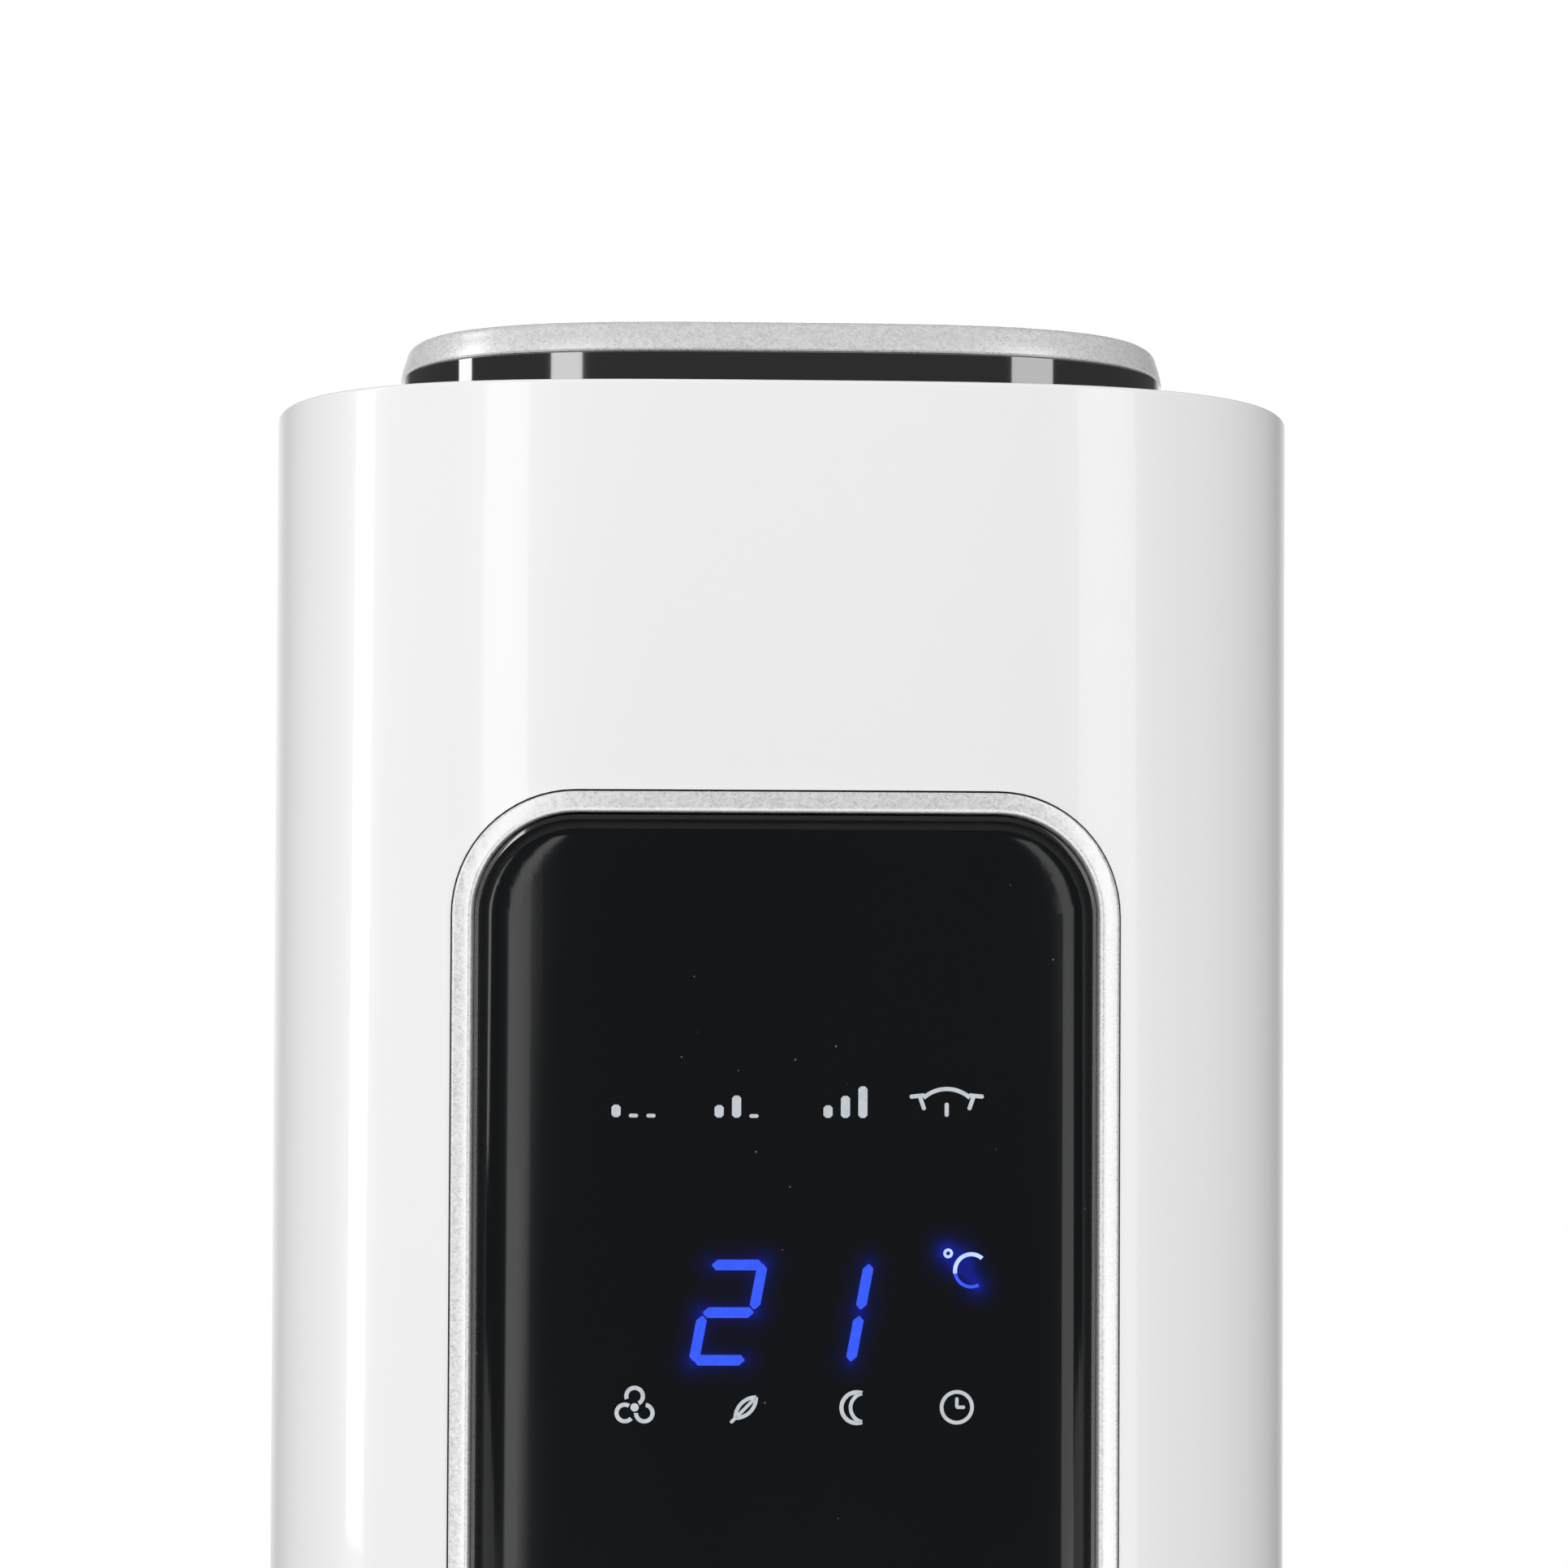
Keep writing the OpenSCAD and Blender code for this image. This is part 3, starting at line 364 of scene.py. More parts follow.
@dataclass(frozen=True)
class LensFinish:
    """The smoked display lens, with the light that the lit strokes spread in it."""

    strokes: tuple[Stroke, ...]
    glow: Colour = (0.01, 0.035, 1.0)
    strength: float = 0.22

    def material(self) -> bpy.types.Material:
        """Builds the lens material: polished black that glows blue round each lit stroke.

        Returns:
            The material.
        """
        graph = NodeGraph("display_lens")
        Finish("display_lens", (0.0045, 0.0052, 0.006), 0.11, Pattern.POLISHED, relief=0.000006).polished(graph)
        graph.set(Specular_IOR_Level=0.35)
        total: bpy.types.NodeSocket | float = 0.0
        for stroke in self.strokes:
            total = graph.maths("ADD", self.falloff(graph, stroke), total)
        graph.join(graph.blend(total, (0, 0, 0), self.glow), graph.shader.inputs["Emission Color"])
        graph.set(Emission_Strength=self.strength)
        return graph.material

    @staticmethod
    def falloff(graph: NodeGraph, stroke: Stroke) -> bpy.types.NodeSocket:
        """Returns the light at a point: the stroke's weight on its line, fading away from it."""
        start, end = stroke.start, stroke.end
        run = Vector((end[0] - start[0], 0, end[1] - start[1]))
        flat = graph.stretched((1, 0, 1))
        offset = graph.add("ShaderNodeVectorMath", operation="SUBTRACT")
        graph.join(flat, offset.inputs[0])
        offset.inputs[1].default_value = (start[0], 0, start[1])
        along = graph.add("ShaderNodeVectorMath", operation="DOT_PRODUCT")
        graph.join(offset.outputs[0], along.inputs[0])
        along.inputs[1].default_value = run / max(run.length_squared, 1e-12)
        share = graph.span(along.outputs["Value"], 0, 1, (0, 1))
        nearest = graph.add("ShaderNodeVectorMath", operation="SCALE")
        nearest.inputs[0].default_value = run
        graph.join(share, nearest.inputs["Scale"])
        gap = graph.add("ShaderNodeVectorMath", operation="DISTANCE")
        graph.join(offset.outputs[0], gap.inputs[0])
        graph.join(nearest.outputs[0], gap.inputs[1])
        fade = graph.maths("EXPONENT", graph.maths("MULTIPLY", gap.outputs["Value"], -1 / stroke.reach))
        return graph.maths("MULTIPLY", fade, stroke.weight)


@dataclass(frozen=True)
class LightFinish:
    """A mark on the display that gives off light, flecked with fine dots: the lit digits, and also the grey print,
    whose glow is painted.
    """

    name: str
    base: Colour
    lit: Colour
    strength: float

    def material(self) -> bpy.types.Material:
        """Builds the mark's material.

        Returns:
            The material.
        """
        known = bpy.data.materials.get(self.name)
        if known:
            return known
        graph = NodeGraph(self.name)
        graph.set(Roughness=0.3, Emission_Strength=self.strength)
        dots = graph.span(graph.noise(900, 2), 0, 1)
        graph.colour(graph.blend(dots, tuple(c * 0.85 for c in self.base), self.base))
        dim = tuple(c * 0.8 for c in self.lit)
        graph.join(graph.blend(dots, dim, self.lit), graph.shader.inputs["Emission Color"])
        return graph.material


DIGIT_BLUE = LightFinish("digit_blue", (0.0, 0.01, 0.1), (0.035, 0.10, 1.0), 1.0)
UNIT_BLUE = LightFinish("unit_blue", (0.1, 0.15, 0.4), (0.35, 0.42, 1.0), 1.5)
# Grey print on the display and on the keys: its own grey colour plus a painted glow, since the print is no lamp.
PRINT_GREY_PAINTED_GLOW = LightFinish("print_grey_painted_glow", (0.4, 0.43, 0.46), (0.62, 0.68, 0.72), 0.3)


# ---------- Shapes ----------

@dataclass(frozen=True)
class Plan:
    """A superellipse, which is the outline of the column and of the cap seen from above."""

    half_width: float
    half_depth: float
    power: float = PLAN_POWER

    def point(self, turn: float, inset: float = 0.0) -> Vector:
        """Finds a point on the outline.

        Args:
            turn: The superellipse's own angle in radians.
            inset: How far inside the outline, along its normal.

        Returns:
            The point, at a height of zero.
        """
        cosine, sine = math.cos(turn), math.sin(turn)
        share = 2 / self.power
        x = self.half_width * math.copysign(abs(cosine) ** share, cosine)
        y = self.half_depth * math.copysign(abs(sine) ** share, sine)
        slope = self.power - 1
        normal = Vector((
            math.copysign(abs(x / self.half_width) ** slope, x) / self.half_width,
            math.copysign(abs(y / self.half_depth) ** slope, y) / self.half_depth, 0)).normalized()
        return Vector((x, y, 0)) - normal * inset

    def surface_y(self, x: float) -> float:
        """Returns how far the outline lies from the middle plane at a distance x from its centre."""
        share = min(1.0, abs(x) / self.half_width)
        return self.half_depth * (1 - share ** self.power) ** (1 / self.power)


@dataclass(frozen=True)
class Station:
    """One loop of an outline sweep: a plan, how far inside it, and a height."""

    plan: Plan
    inset: float
    height: float


def rounding(radius: float, steps: int) -> list[Point2]:
    """Returns (inwards, upwards) steps of a quarter round that turns from a wall to a top."""
    angles = [math.pi / 2 * step / steps for step in range(steps + 1)]
    return [(radius * (1 - math.cos(a)), radius * math.sin(a)) for a in angles]


class Shape:
    """A mesh in the making, with the operators that the fan's pieces share."""

    def __init__(self) -> None:
        """Starts an empty mesh."""
        self.bm = bmesh.new()

    def sweep(self, stations: Sequence[Station], count: int = 240, closed: bool = False) -> "Shape":
        """Extrudes a plan's outline through stations.

        Args:
            stations: The loops, in order.
            count: Points on each loop.
            closed: Whether the last loop joins the first, or is left open.

        Returns:
            The shape itself.
        """
        made = bmesh.ops.create_circle(self.bm, cap_ends=False, segments=count, radius=1)
        turns = {v: 2 * math.pi * (i + 0.5) / count for i, v in enumerate(made["verts"])}
        ring = list(self.bm.edges)
        for vert, turn in turns.items():
            vert.co = self.station_point(stations[0], turn)
        first = list(ring)
        for station in stations[1:]:
            links = {(round(v.co.x, 7), round(v.co.y, 7), round(v.co.z, 7)): turn for v, turn in turns.items()}
            grown = bmesh.ops.extrude_edge_only(self.bm, edges=ring)["geom"]
            ring = [g for g in grown if isinstance(g, bmesh.types.BMEdge)]
            new = {v for g in ring for v in g.verts}
            turns = {v: links[(round(v.co.x, 7), round(v.co.y, 7), round(v.co.z, 7))] for v in new}
            for vert, turn in turns.items():
                vert.co = self.station_point(station, turn)
        if closed:
            bmesh.ops.bridge_loops(self.bm, edges=first + ring)
        return self.outward()

    @staticmethod
    def station_point(station: Station, turn: float) -> Vector:
        """Returns a station's point at a turn."""
        return station.plan.point(turn, station.inset) + Vector((0, 0, station.height))

    def cap(self, height: float, top: bool = True) -> "Shape":
        """Fills the open loop at a height."""
        edges = [e for e in self.bm.edges if e.is_boundary and all(abs(v.co.z - height) < 1e-6 for v in e.verts)]
        bmesh.ops.contextual_create(self.bm, geom=edges)
        return self.outward()

    def turned(self, profile: Sequence[Point2], centre: Point2 = (0, 0), steps: int = 96) -> "Shape":
        """Spins a closed or axis-to-axis profile of (radius, height) points round an upright axis.

        Args:
            profile: The points, in order.
            centre: The axis's x and y.
            steps: Segments in a full turn.

        Returns:
            The shape itself.
        """
        verts = [self.bm.verts.new((centre[0] + r, centre[1], z)) for r, z in profile]
        edges = [self.bm.edges.new(pair) for pair in zip(verts, verts[1:])]
        bmesh.ops.spin(self.bm, geom=verts + edges, cent=(*centre, 0), axis=(0, 0, 1),
                       angle=2 * math.pi, steps=steps, use_merge=True)
        bmesh.ops.remove_doubles(self.bm, verts=self.bm.verts, dist=1e-7)
        return self.outward()

    def plate(self, half_width: float, low: float, high: float, top_radius: float,
              low_radius: float, segments: int = 16) -> "Shape":
        """Adds a flat upright face with rounded corners, which looks to the front.

        Args:
            half_width: Half the face's width.
            low: Height of its lower edge.
            high: Height of its upper edge.
            top_radius: Radius of the upper corners.
            low_radius: Radius of the lower corners.
            segments: Segments in each corner.

        Returns:
            The shape itself.
        """
        made = bmesh.ops.create_grid(self.bm, x_segments=1, y_segments=1, size=1)["verts"]
        stand = Matrix.Rotation(math.pi / 2, 4, "X")
        size = Matrix.Diagonal((half_width, 1, (high - low) / 2, 1))
        bmesh.ops.transform(self.bm, matrix=Matrix.Translation((0, 0, (low + high) / 2)) @ size @ stand, verts=made)
        middle = (low + high) / 2
        for upper, radius in ((True, top_radius), (False, low_radius)):
            corners = [v for v in made if v.is_valid and (v.co.z > middle) == upper]
            if radius > 0:
                bmesh.ops.bevel(self.bm, geom=corners, offset=radius, offset_type="OFFSET", affect="VERTICES",
                                segments=segments, profile=0.5, material=-1)
        return self

    def inset(self, distance: float, depth: float = 0.0) -> list[bmesh.types.BMFace]:
        """Insets the widest face.

        Args:
            distance: How far inwards.
            depth: How far forwards.

        Returns:
            The faces of the new rim.
        """
        face = max(self.bm.faces, key=lambda f: f.calc_area())
        return bmesh.ops.inset_region(self.bm, faces=[face], thickness=distance, depth=depth,
                                      use_boundary=True, use_even_offset=True)["faces"]

    def drop_widest(self) -> "Shape":
        """Deletes the widest face, which leaves a frame."""
        face = max(self.bm.faces, key=lambda f: f.calc_area())
        bmesh.ops.delete(self.bm, geom=[face], context="FACES")
        return self

    def thicken(self, depth: float) -> "Shape":
        """Extrudes all faces backwards into a closed slab."""
        grown = bmesh.ops.extrude_face_region(self.bm, geom=list(self.bm.faces))["geom"]
        verts = [g for g in grown if isinstance(g, bmesh.types.BMVert)]
        bmesh.ops.translate(self.bm, vec=(0, depth, 0), verts=verts)
        return self.outward()

    def round_edges(self, test: Callable[[bmesh.types.BMEdge], bool], radius: float, segments: int = 3) -> "Shape":
        """Bevels the edges that pass a test.

        Args:
            test: Says which edges to round.
            radius: The bevel's width.
            segments: Segments across it.

        Returns:
            The shape itself.
        """
        edges = [e for e in self.bm.edges if test(e)]
        bmesh.ops.bevel(self.bm, geom=edges, offset=radius, offset_type="OFFSET", affect="EDGES",
                        segments=segments, profile=0.5, material=-1, clamp_overlap=True)
        return self

    def follow(self, plan: Plan, half_width: float, strips: int, rear: bool = False) -> "Shape":
        """Cuts the shape into upright strips and bends it onto a plan's front or back.

        Args:
            plan: The plan to follow.
            half_width: Half the width to cut.
            strips: How many strips.
            rear: Whether it follows the back.

        Returns:
            The shape itself.
        """
        for step in range(1, strips):
            x = half_width * (2 * step / strips - 1)
            bmesh.ops.bisect_plane(self.bm, geom=list(self.bm.verts) + list(self.bm.edges) + list(self.bm.faces),
                                   plane_co=(x, 0, 0), plane_no=(1, 0, 0), dist=1e-7)
        for vert in self.bm.verts:
            vert.co.y += plan.surface_y(vert.co.x) if rear else -plan.surface_y(vert.co.x)
        return self

    def cut_away(self, point: Sequence[float], normal: Sequence[float]) -> "Shape":
        """Removes what lies beyond a plane on its normal's side."""
        bmesh.ops.bisect_plane(self.bm, geom=list(self.bm.verts) + list(self.bm.edges) + list(self.bm.faces),
                               plane_co=point, plane_no=normal, clear_outer=True, dist=1e-7)
        return self

    def outward(self) -> "Shape":
        """Points every face outwards."""
        bmesh.ops.recalc_face_normals(self.bm, faces=list(self.bm.faces))
        return self

    def piece(self, name: str) -> bpy.types.Object:
        """Turns the shape into an object with smooth faces and sharp edges.

        Args:
            name: The piece's name.

        Returns:
            The new object.
        """
        mesh = bpy.data.meshes.new(name)
        self.bm.to_mesh(mesh)
        self.bm.free()
        made = bpy.data.objects.new(name, mesh)
        bpy.context.scene.collection.objects.link(made)
        return sharpen(made)


def sharpen(piece: bpy.types.Object) -> bpy.types.Object:
    """Shades a piece smooth, with its sharp edges kept.

    Args:
        piece: The object to shade.

    Returns:
        The same object.
    """
    piece.data.shade_smooth()
    piece.data.set_sharp_from_angle(angle=SMOOTH_ANGLE)
    return piece


def settle(piece: bpy.types.Object) -> bpy.types.Object:
    """Applies a piece's modifiers to its mesh.

    Args:
        piece: The object to settle.

    Returns:
        The same object.
    """
    bpy.context.view_layer.update()
    result = piece.evaluated_get(bpy.context.evaluated_depsgraph_get())
    mesh = bpy.data.meshes.new_from_object(result)
    piece.modifiers.clear()
    piece.data = mesh
    return piece


def give_wall(piece: bpy.types.Object, thickness: float) -> bpy.types.Object:
    """Gives an open skin a wall on its inner side.

    Args:
        piece: The skin.
        thickness: The wall's thickness.

    Returns:
        The same object.
    """
    wall = piece.modifiers.new("wall", "SOLIDIFY")
    wall.thickness = thickness
    wall.offset = -1
    wall.use_even_offset = True
    return settle(piece)


def carve(piece: bpy.types.Object, cutters: Iterable[bpy.types.Object]) -> bpy.types.Object:
    """Cuts other shapes out of a piece and removes them.

    Args:
        piece: The piece to cut.
        cutters: The shapes to cut out.

    Returns:
        The same object, shaded again.
    """
    tools = list(cutters)
    for tool in tools:
        hole = piece.modifiers.new("hole", "BOOLEAN")
        hole.object = tool
        hole.operation = "DIFFERENCE"
        hole.solver = "EXACT"
    settle(piece)
    for tool in tools:
        bpy.data.objects.remove(tool)
    return sharpen(piece)


def even_normals(piece: bpy.types.Object) -> bpy.types.Object:
    """Keeps broad faces flat between their rounded edges."""
    weigh = piece.modifiers.new("even_normals", "WEIGHTED_NORMAL")
    weigh.keep_sharp = True
    return piece


def finished(piece: bpy.types.Object, material: bpy.types.Material, body: str,
             nodes: Sequence[str] = ()) -> bpy.types.Object:
    """Dresses a piece and fixes it to its body.

    Args:
        piece: The piece.
        material: Its material.
        body: The moving body that it rides on.
        nodes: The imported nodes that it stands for.

    Returns:
        The same object.
    """
    piece.data.materials.clear()
    piece.data.materials.append(material)
    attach(piece, body)
    if nodes:
        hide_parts(*nodes)
    LOG.info("piece %s: %d faces, on %s, for %s", piece.name, len(piece.data.polygons), body, list(nodes))
    return piece


# ---------- Column ----------

@dataclass
class Column:
    """The white shells and the sizes that the front and the cap share."""

    wall: float = 2.8 * MM
    rim_radius: float = 0.7 * MM
    gap: float = 0.3 * MM
    split: float = field(init=False)
    plan: Plan = field(init=False)
    cap_plan: Plan = field(init=False)
    low: float = field(init=False)
    rim: float = field(init=False)

    def __post_init__(self) -> None:
        """Reads the column's sizes from the frame."""
        low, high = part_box("front_shell")
        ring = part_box("top_trim_ring")[1]
        self.plan = Plan(high.x, -low.y)
        self.cap_plan = Plan(ring.x, ring.y)
        self.low, self.rim, self.split = low.z, high.z, high.y

    def skin(self) -> Shape:
        """Returns the column's outer skin, from its foot over the rim to the cap."""
        stations = [Station(self.plan, 0, self.low)]
        stations += [Station(self.plan, inward, self.rim - self.rim_radius + up)
                     for inward, up in rounding(self.rim_radius, 5)]
        stations.append(Station(self.cap_plan, -self.gap, self.rim))
        return Shape().sweep(stations, count=280)

    def opening(self, name: str, half_width: float, low: float, high: float, radius: float,
                near: float, far: float) -> bpy.types.Object:
        """Makes a cutter with rounded corners that runs from near to far along Y."""
        shape = Shape().plate(half_width, low, high, radius, radius)
        shape.thicken(far - near)
        bmesh.ops.translate(shape.bm, vec=(0, near, 0), verts=shape.bm.verts)
        return shape.piece(name)

    def build(self) -> None:
        """Builds both shells."""
        white = FINISHES["white_gloss"].material()
        front = give_wall(self.skin().cut_away((0, self.split, 0), (0, 1, 0)).piece("front_cover"), self.wall)
        low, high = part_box("bezel_frame")
        corner = 18.8 * MM + self.gap
        carve(front, [self.opening("front_opening", high.x, low.z - self.gap, high.z + self.gap,
                                   corner, -0.1, -0.03)])
        finished(front, white, "column", ["front_shell"])
        rear = give_wall(self.skin().cut_away((0, self.split + 0.1 * MM, 0), (0, -1, 0)).piece("rear_cover"), self.wall)
        cutters = []
        for node, radius in (("intake_grille", 12.3 * MM), ("grip_cup", 12.3 * MM)):
            low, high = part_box(node)
            cutters.append(self.opening(node + "_opening", high.x + self.gap, low.z - self.gap,
                                        high.z + self.gap, radius, 0.04, 0.1))
        cutters += self.screw_wells()
        carve(rear, cutters)
        finished(rear, white, "column", ["rear_shell"])

    def screw_wells(self) -> list[bpy.types.Object]:
        """Returns cutters for the wells of the shell screws."""
        low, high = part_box("shell_screws")
        wells = []
        radius = 3.5 * MM
        across = high.x - 3.2 * MM
        for side in (-1, 1):
            for step in range(5):
                height = low.z + 3.2 * MM + (high.z - low.z - 6.4 * MM) * step / 4
                shape = Shape()
                turn = Matrix.Translation((side * across, 0.068, height)) @ Matrix.Rotation(math.pi / 2, 4, "X")
                bmesh.ops.create_cone(shape.bm, cap_ends=True, segments=48, radius1=radius, radius2=radius,
                                      depth=0.06, matrix=turn)
                wells.append(shape.piece(f"well_{side}_{step}"))
        return wells


@dataclass
class Front:
    """The silver frame and the display lens."""

    column: Column
    frame_radius: float = 18.8 * MM
    face: float = 3.1 * MM
    edge: float = 0.4 * MM
    lens_gap: float = 0.7 * MM
    side_trim: float = 0.3 * MM
    strips: int = 56

    def build(self) -> None:
        """Builds the frame, the lens and its marks."""
        self.build_frame()
        self.build_collar()
        lens_front = self.build_lens()
        Display(self.column, lens_front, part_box("display_lens")[1].z).build()

    def build_frame(self) -> None:
        """Builds the silver frame round the lens and the outlet."""
        low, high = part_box("bezel_frame")
        high.x -= self.side_trim
        shape = Shape().plate(high.x, low.z, high.z, self.frame_radius, self.frame_radius, 20)
        shape.inset(self.face)
        shape.drop_widest()
        shape.thicken(10 * MM)
        shape.round_edges(lambda e: self.frontal(e) and self.outer(e, high, low), self.edge, 2)
        shape.round_edges(lambda e: self.frontal(e) and not self.outer(e, high, low), 0.7 * MM, 4)
        shape.follow(self.column.plan, high.x, self.strips)
        bmesh.ops.translate(shape.bm, vec=(0, -0.8 * MM, 0), verts=shape.bm.verts)
        silver = FINISHES["silver_satin"].material()
        finished(even_normals(shape.piece("front_frame")), silver, "column", ["bezel_frame"])

    def build_collar(self) -> None:
        """Builds the black collar that the lens sits in, with a fine ledge round it."""
        low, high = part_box("display_lens")
        radius = self.frame_radius - self.face
        shape = Shape().plate(high.x + 0.2 * MM, low.z, high.z + 0.2 * MM, radius, 0, 20)
        shape.inset(0.55 * MM)
        shape.inset(self.lens_gap - 0.3 * MM)
        shape.drop_widest()
        shape.thicken(2.5 * MM)
        shape.follow(self.column.plan, high.x, self.strips)
        bmesh.ops.translate(shape.bm, vec=(0, 2.3 * MM, 0), verts=shape.bm.verts)
        finished(shape.piece("lens_collar"), FINISHES["black_gloss"].material(), "column")

    @staticmethod
    def frontal(edge: bmesh.types.BMEdge) -> bool:
        """Says whether an edge lies in the front plane between two faces."""
        return all(abs(v.co.y) < 1e-6 for v in edge.verts) and edge.calc_face_angle(0) > 1

    def outer(self, edge: bmesh.types.BMEdge, high: Vector, low: Vector) -> bool:
        """Says whether an edge is on the frame's outer outline."""
        middle = (edge.verts[0].co + edge.verts[1].co) / 2
        radius = self.frame_radius
        dx = max(0.0, abs(middle.x) - (high.x - radius))
        dz = max(0.0, abs(middle.z - (high.z + low.z) / 2) - ((high.z - low.z) / 2 - radius))
        return math.hypot(dx, dz) > radius - self.face / 2

    def build_lens(self) -> float:
        """Builds the lens, whose face rises from its rim in a soft pillow.

        Returns:
            How far its flat face stands behind the column's front.
        """
        low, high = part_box("display_lens")
        half_width = high.x - (self.lens_gap - 0.3 * MM)
        top = high.z - (self.lens_gap - 0.3 * MM)
        radius = self.frame_radius - self.face - self.lens_gap
        shape = Shape().plate(half_width, low.z, top, radius, 0, 20)
        shape.thicken(0.6 * MM)
        pillow = ((0.15, 0.35), (0.45, 0.42), (0.45, 0.36), (0.45, 0.30), (0.45, 0.24), (0.5, 0.21), (0.6, 0.16),
                  (0.8, 0.12), (1.1, 0.08), (1.6, 0.04))
        bmesh.ops.translate(shape.bm, vec=(0, sum(rise for _, rise in pillow) * MM, 0), verts=shape.bm.verts)
        for reach, rise in pillow:
            self.raise_front(shape, reach * MM, rise * MM)
        flat = min(v.co.y for v in shape.bm.verts)
        shape.follow(self.column.plan, half_width, self.strips)
        strokes = tuple(Display.glowing(top + (self.lens_gap - 0.3 * MM)))
        lens = shape.piece("lens")
        finished(lens, LensFinish(strokes).material(), "column", ["display_lens"])
        return flat

    @staticmethod
    def raise_front(shape: Shape, distance: float, rise: float) -> None:
        """Insets the face that looks to the front, and moves it forwards."""
        face = min((f for f in shape.bm.faces if f.normal.y < -0.9), key=lambda f: (round(f.calc_center_median().y, 6), -f.calc_area()))
        bmesh.ops.inset_region(shape.bm, faces=[face], thickness=distance, depth=0, use_even_offset=True)
        bmesh.ops.translate(shape.bm, vec=(0, -rise, 0), verts=face.verts)


class Mark:
    """A thin mark on the display, drawn flat and then laid on the lens."""

    def __init__(self, centre: Point2) -> None:
        """Starts a mark.

        Args:
            centre: Its middle, as x and z.
        """
        self.shape = Shape()
        self.centre = centre

    def bar(self, middle: Point2, size: Point2, turn: float = 0.0, point: float = 0.0, slant: float = 0.0) -> "Mark":
        """Adds a bar.

        Args:
            middle: Its middle, from the mark's centre.
            size: Its width and height.
            turn: Its turn in radians.
            point: How far its corners are cut back.
            slant: How far it leans, as a share of its height.

        Returns:
            The mark itself.
        """
        others = set(self.shape.bm.faces)
        made = bmesh.ops.create_grid(self.shape.bm, x_segments=1, y_segments=1, size=0.5)["verts"]
        stand = Matrix.Diagonal((size[0], 1, size[1], 1)) @ Matrix.Rotation(math.pi / 2, 4, "X")
        bmesh.ops.transform(self.shape.bm, matrix=stand, verts=made)
        if point > 0:
            bmesh.ops.bevel(self.shape.bm, geom=made, offset=point, offset_type="OFFSET", affect="VERTICES",
                            segments=1, profile=0.5, material=-1)
        face = next(f for f in self.shape.bm.faces if f not in others)
        lean = Matrix.Identity(4)
        lean[0][2] = slant
        place = lean @ Matrix.Translation((middle[0], 0, middle[1])) @ Matrix.Rotation(turn, 4, "Y")
        bmesh.ops.transform(self.shape.bm, matrix=place, verts=list(face.verts))
        return self

    def arc(self, middle: Point2, radius: float, width: float, start: float, end: float, steps: int = 24) -> "Mark":
        """Adds a ring or part of one, from a start to an end angle in degrees from +X towards +Z."""
        angle = math.radians(start)
        direction = Vector((math.cos(angle), 0, math.sin(angle)))
        origin = Vector((middle[0], 0, middle[1]))
        verts = [self.shape.bm.verts.new(origin + direction * r) for r in (radius - width / 2, radius + width / 2)]
        edge = self.shape.bm.edges.new(verts)
        sweep = math.radians(end - start)
        bmesh.ops.spin(self.shape.bm, geom=verts + [edge], cent=origin, axis=(0, -1, 0), angle=sweep,
                       steps=steps, use_merge=abs(end - start) >= 360)
        return self

    def disc(self, middle: Point2, radius: float) -> "Mark":
        """Adds a disc."""
        place = Matrix.Translation((middle[0], 0, middle[1])) @ Matrix.Rotation(math.pi / 2, 4, "X")
        bmesh.ops.create_circle(self.shape.bm, cap_ends=True, segments=24, radius=radius, matrix=place)
        return self

    def lay(self, name: str, plan: Plan, depth: float, finish: LightFinish, scale: float = 1.0) -> None:
        """Lays the mark on the lens as a thin film.

        Args:
            name: The piece's name.
            plan: The column's plan.
            depth: How far the lens's face stands behind the plan.
            finish: The mark's finish.
            scale: How many times larger than drawn.
        """
        film = 0.03 * MM
        bmesh.ops.scale(self.shape.bm, vec=(scale, 1, scale), verts=self.shape.bm.verts)
        bmesh.ops.translate(self.shape.bm, vec=(self.centre[0], depth - 1.3 * film, self.centre[1]),
                            verts=self.shape.bm.verts)
        self.shape.thicken(film)
        for vert in self.shape.bm.verts:
            vert.co.y -= plan.surface_y(vert.co.x)
        finished(self.shape.piece(name), finish.material(), "column")


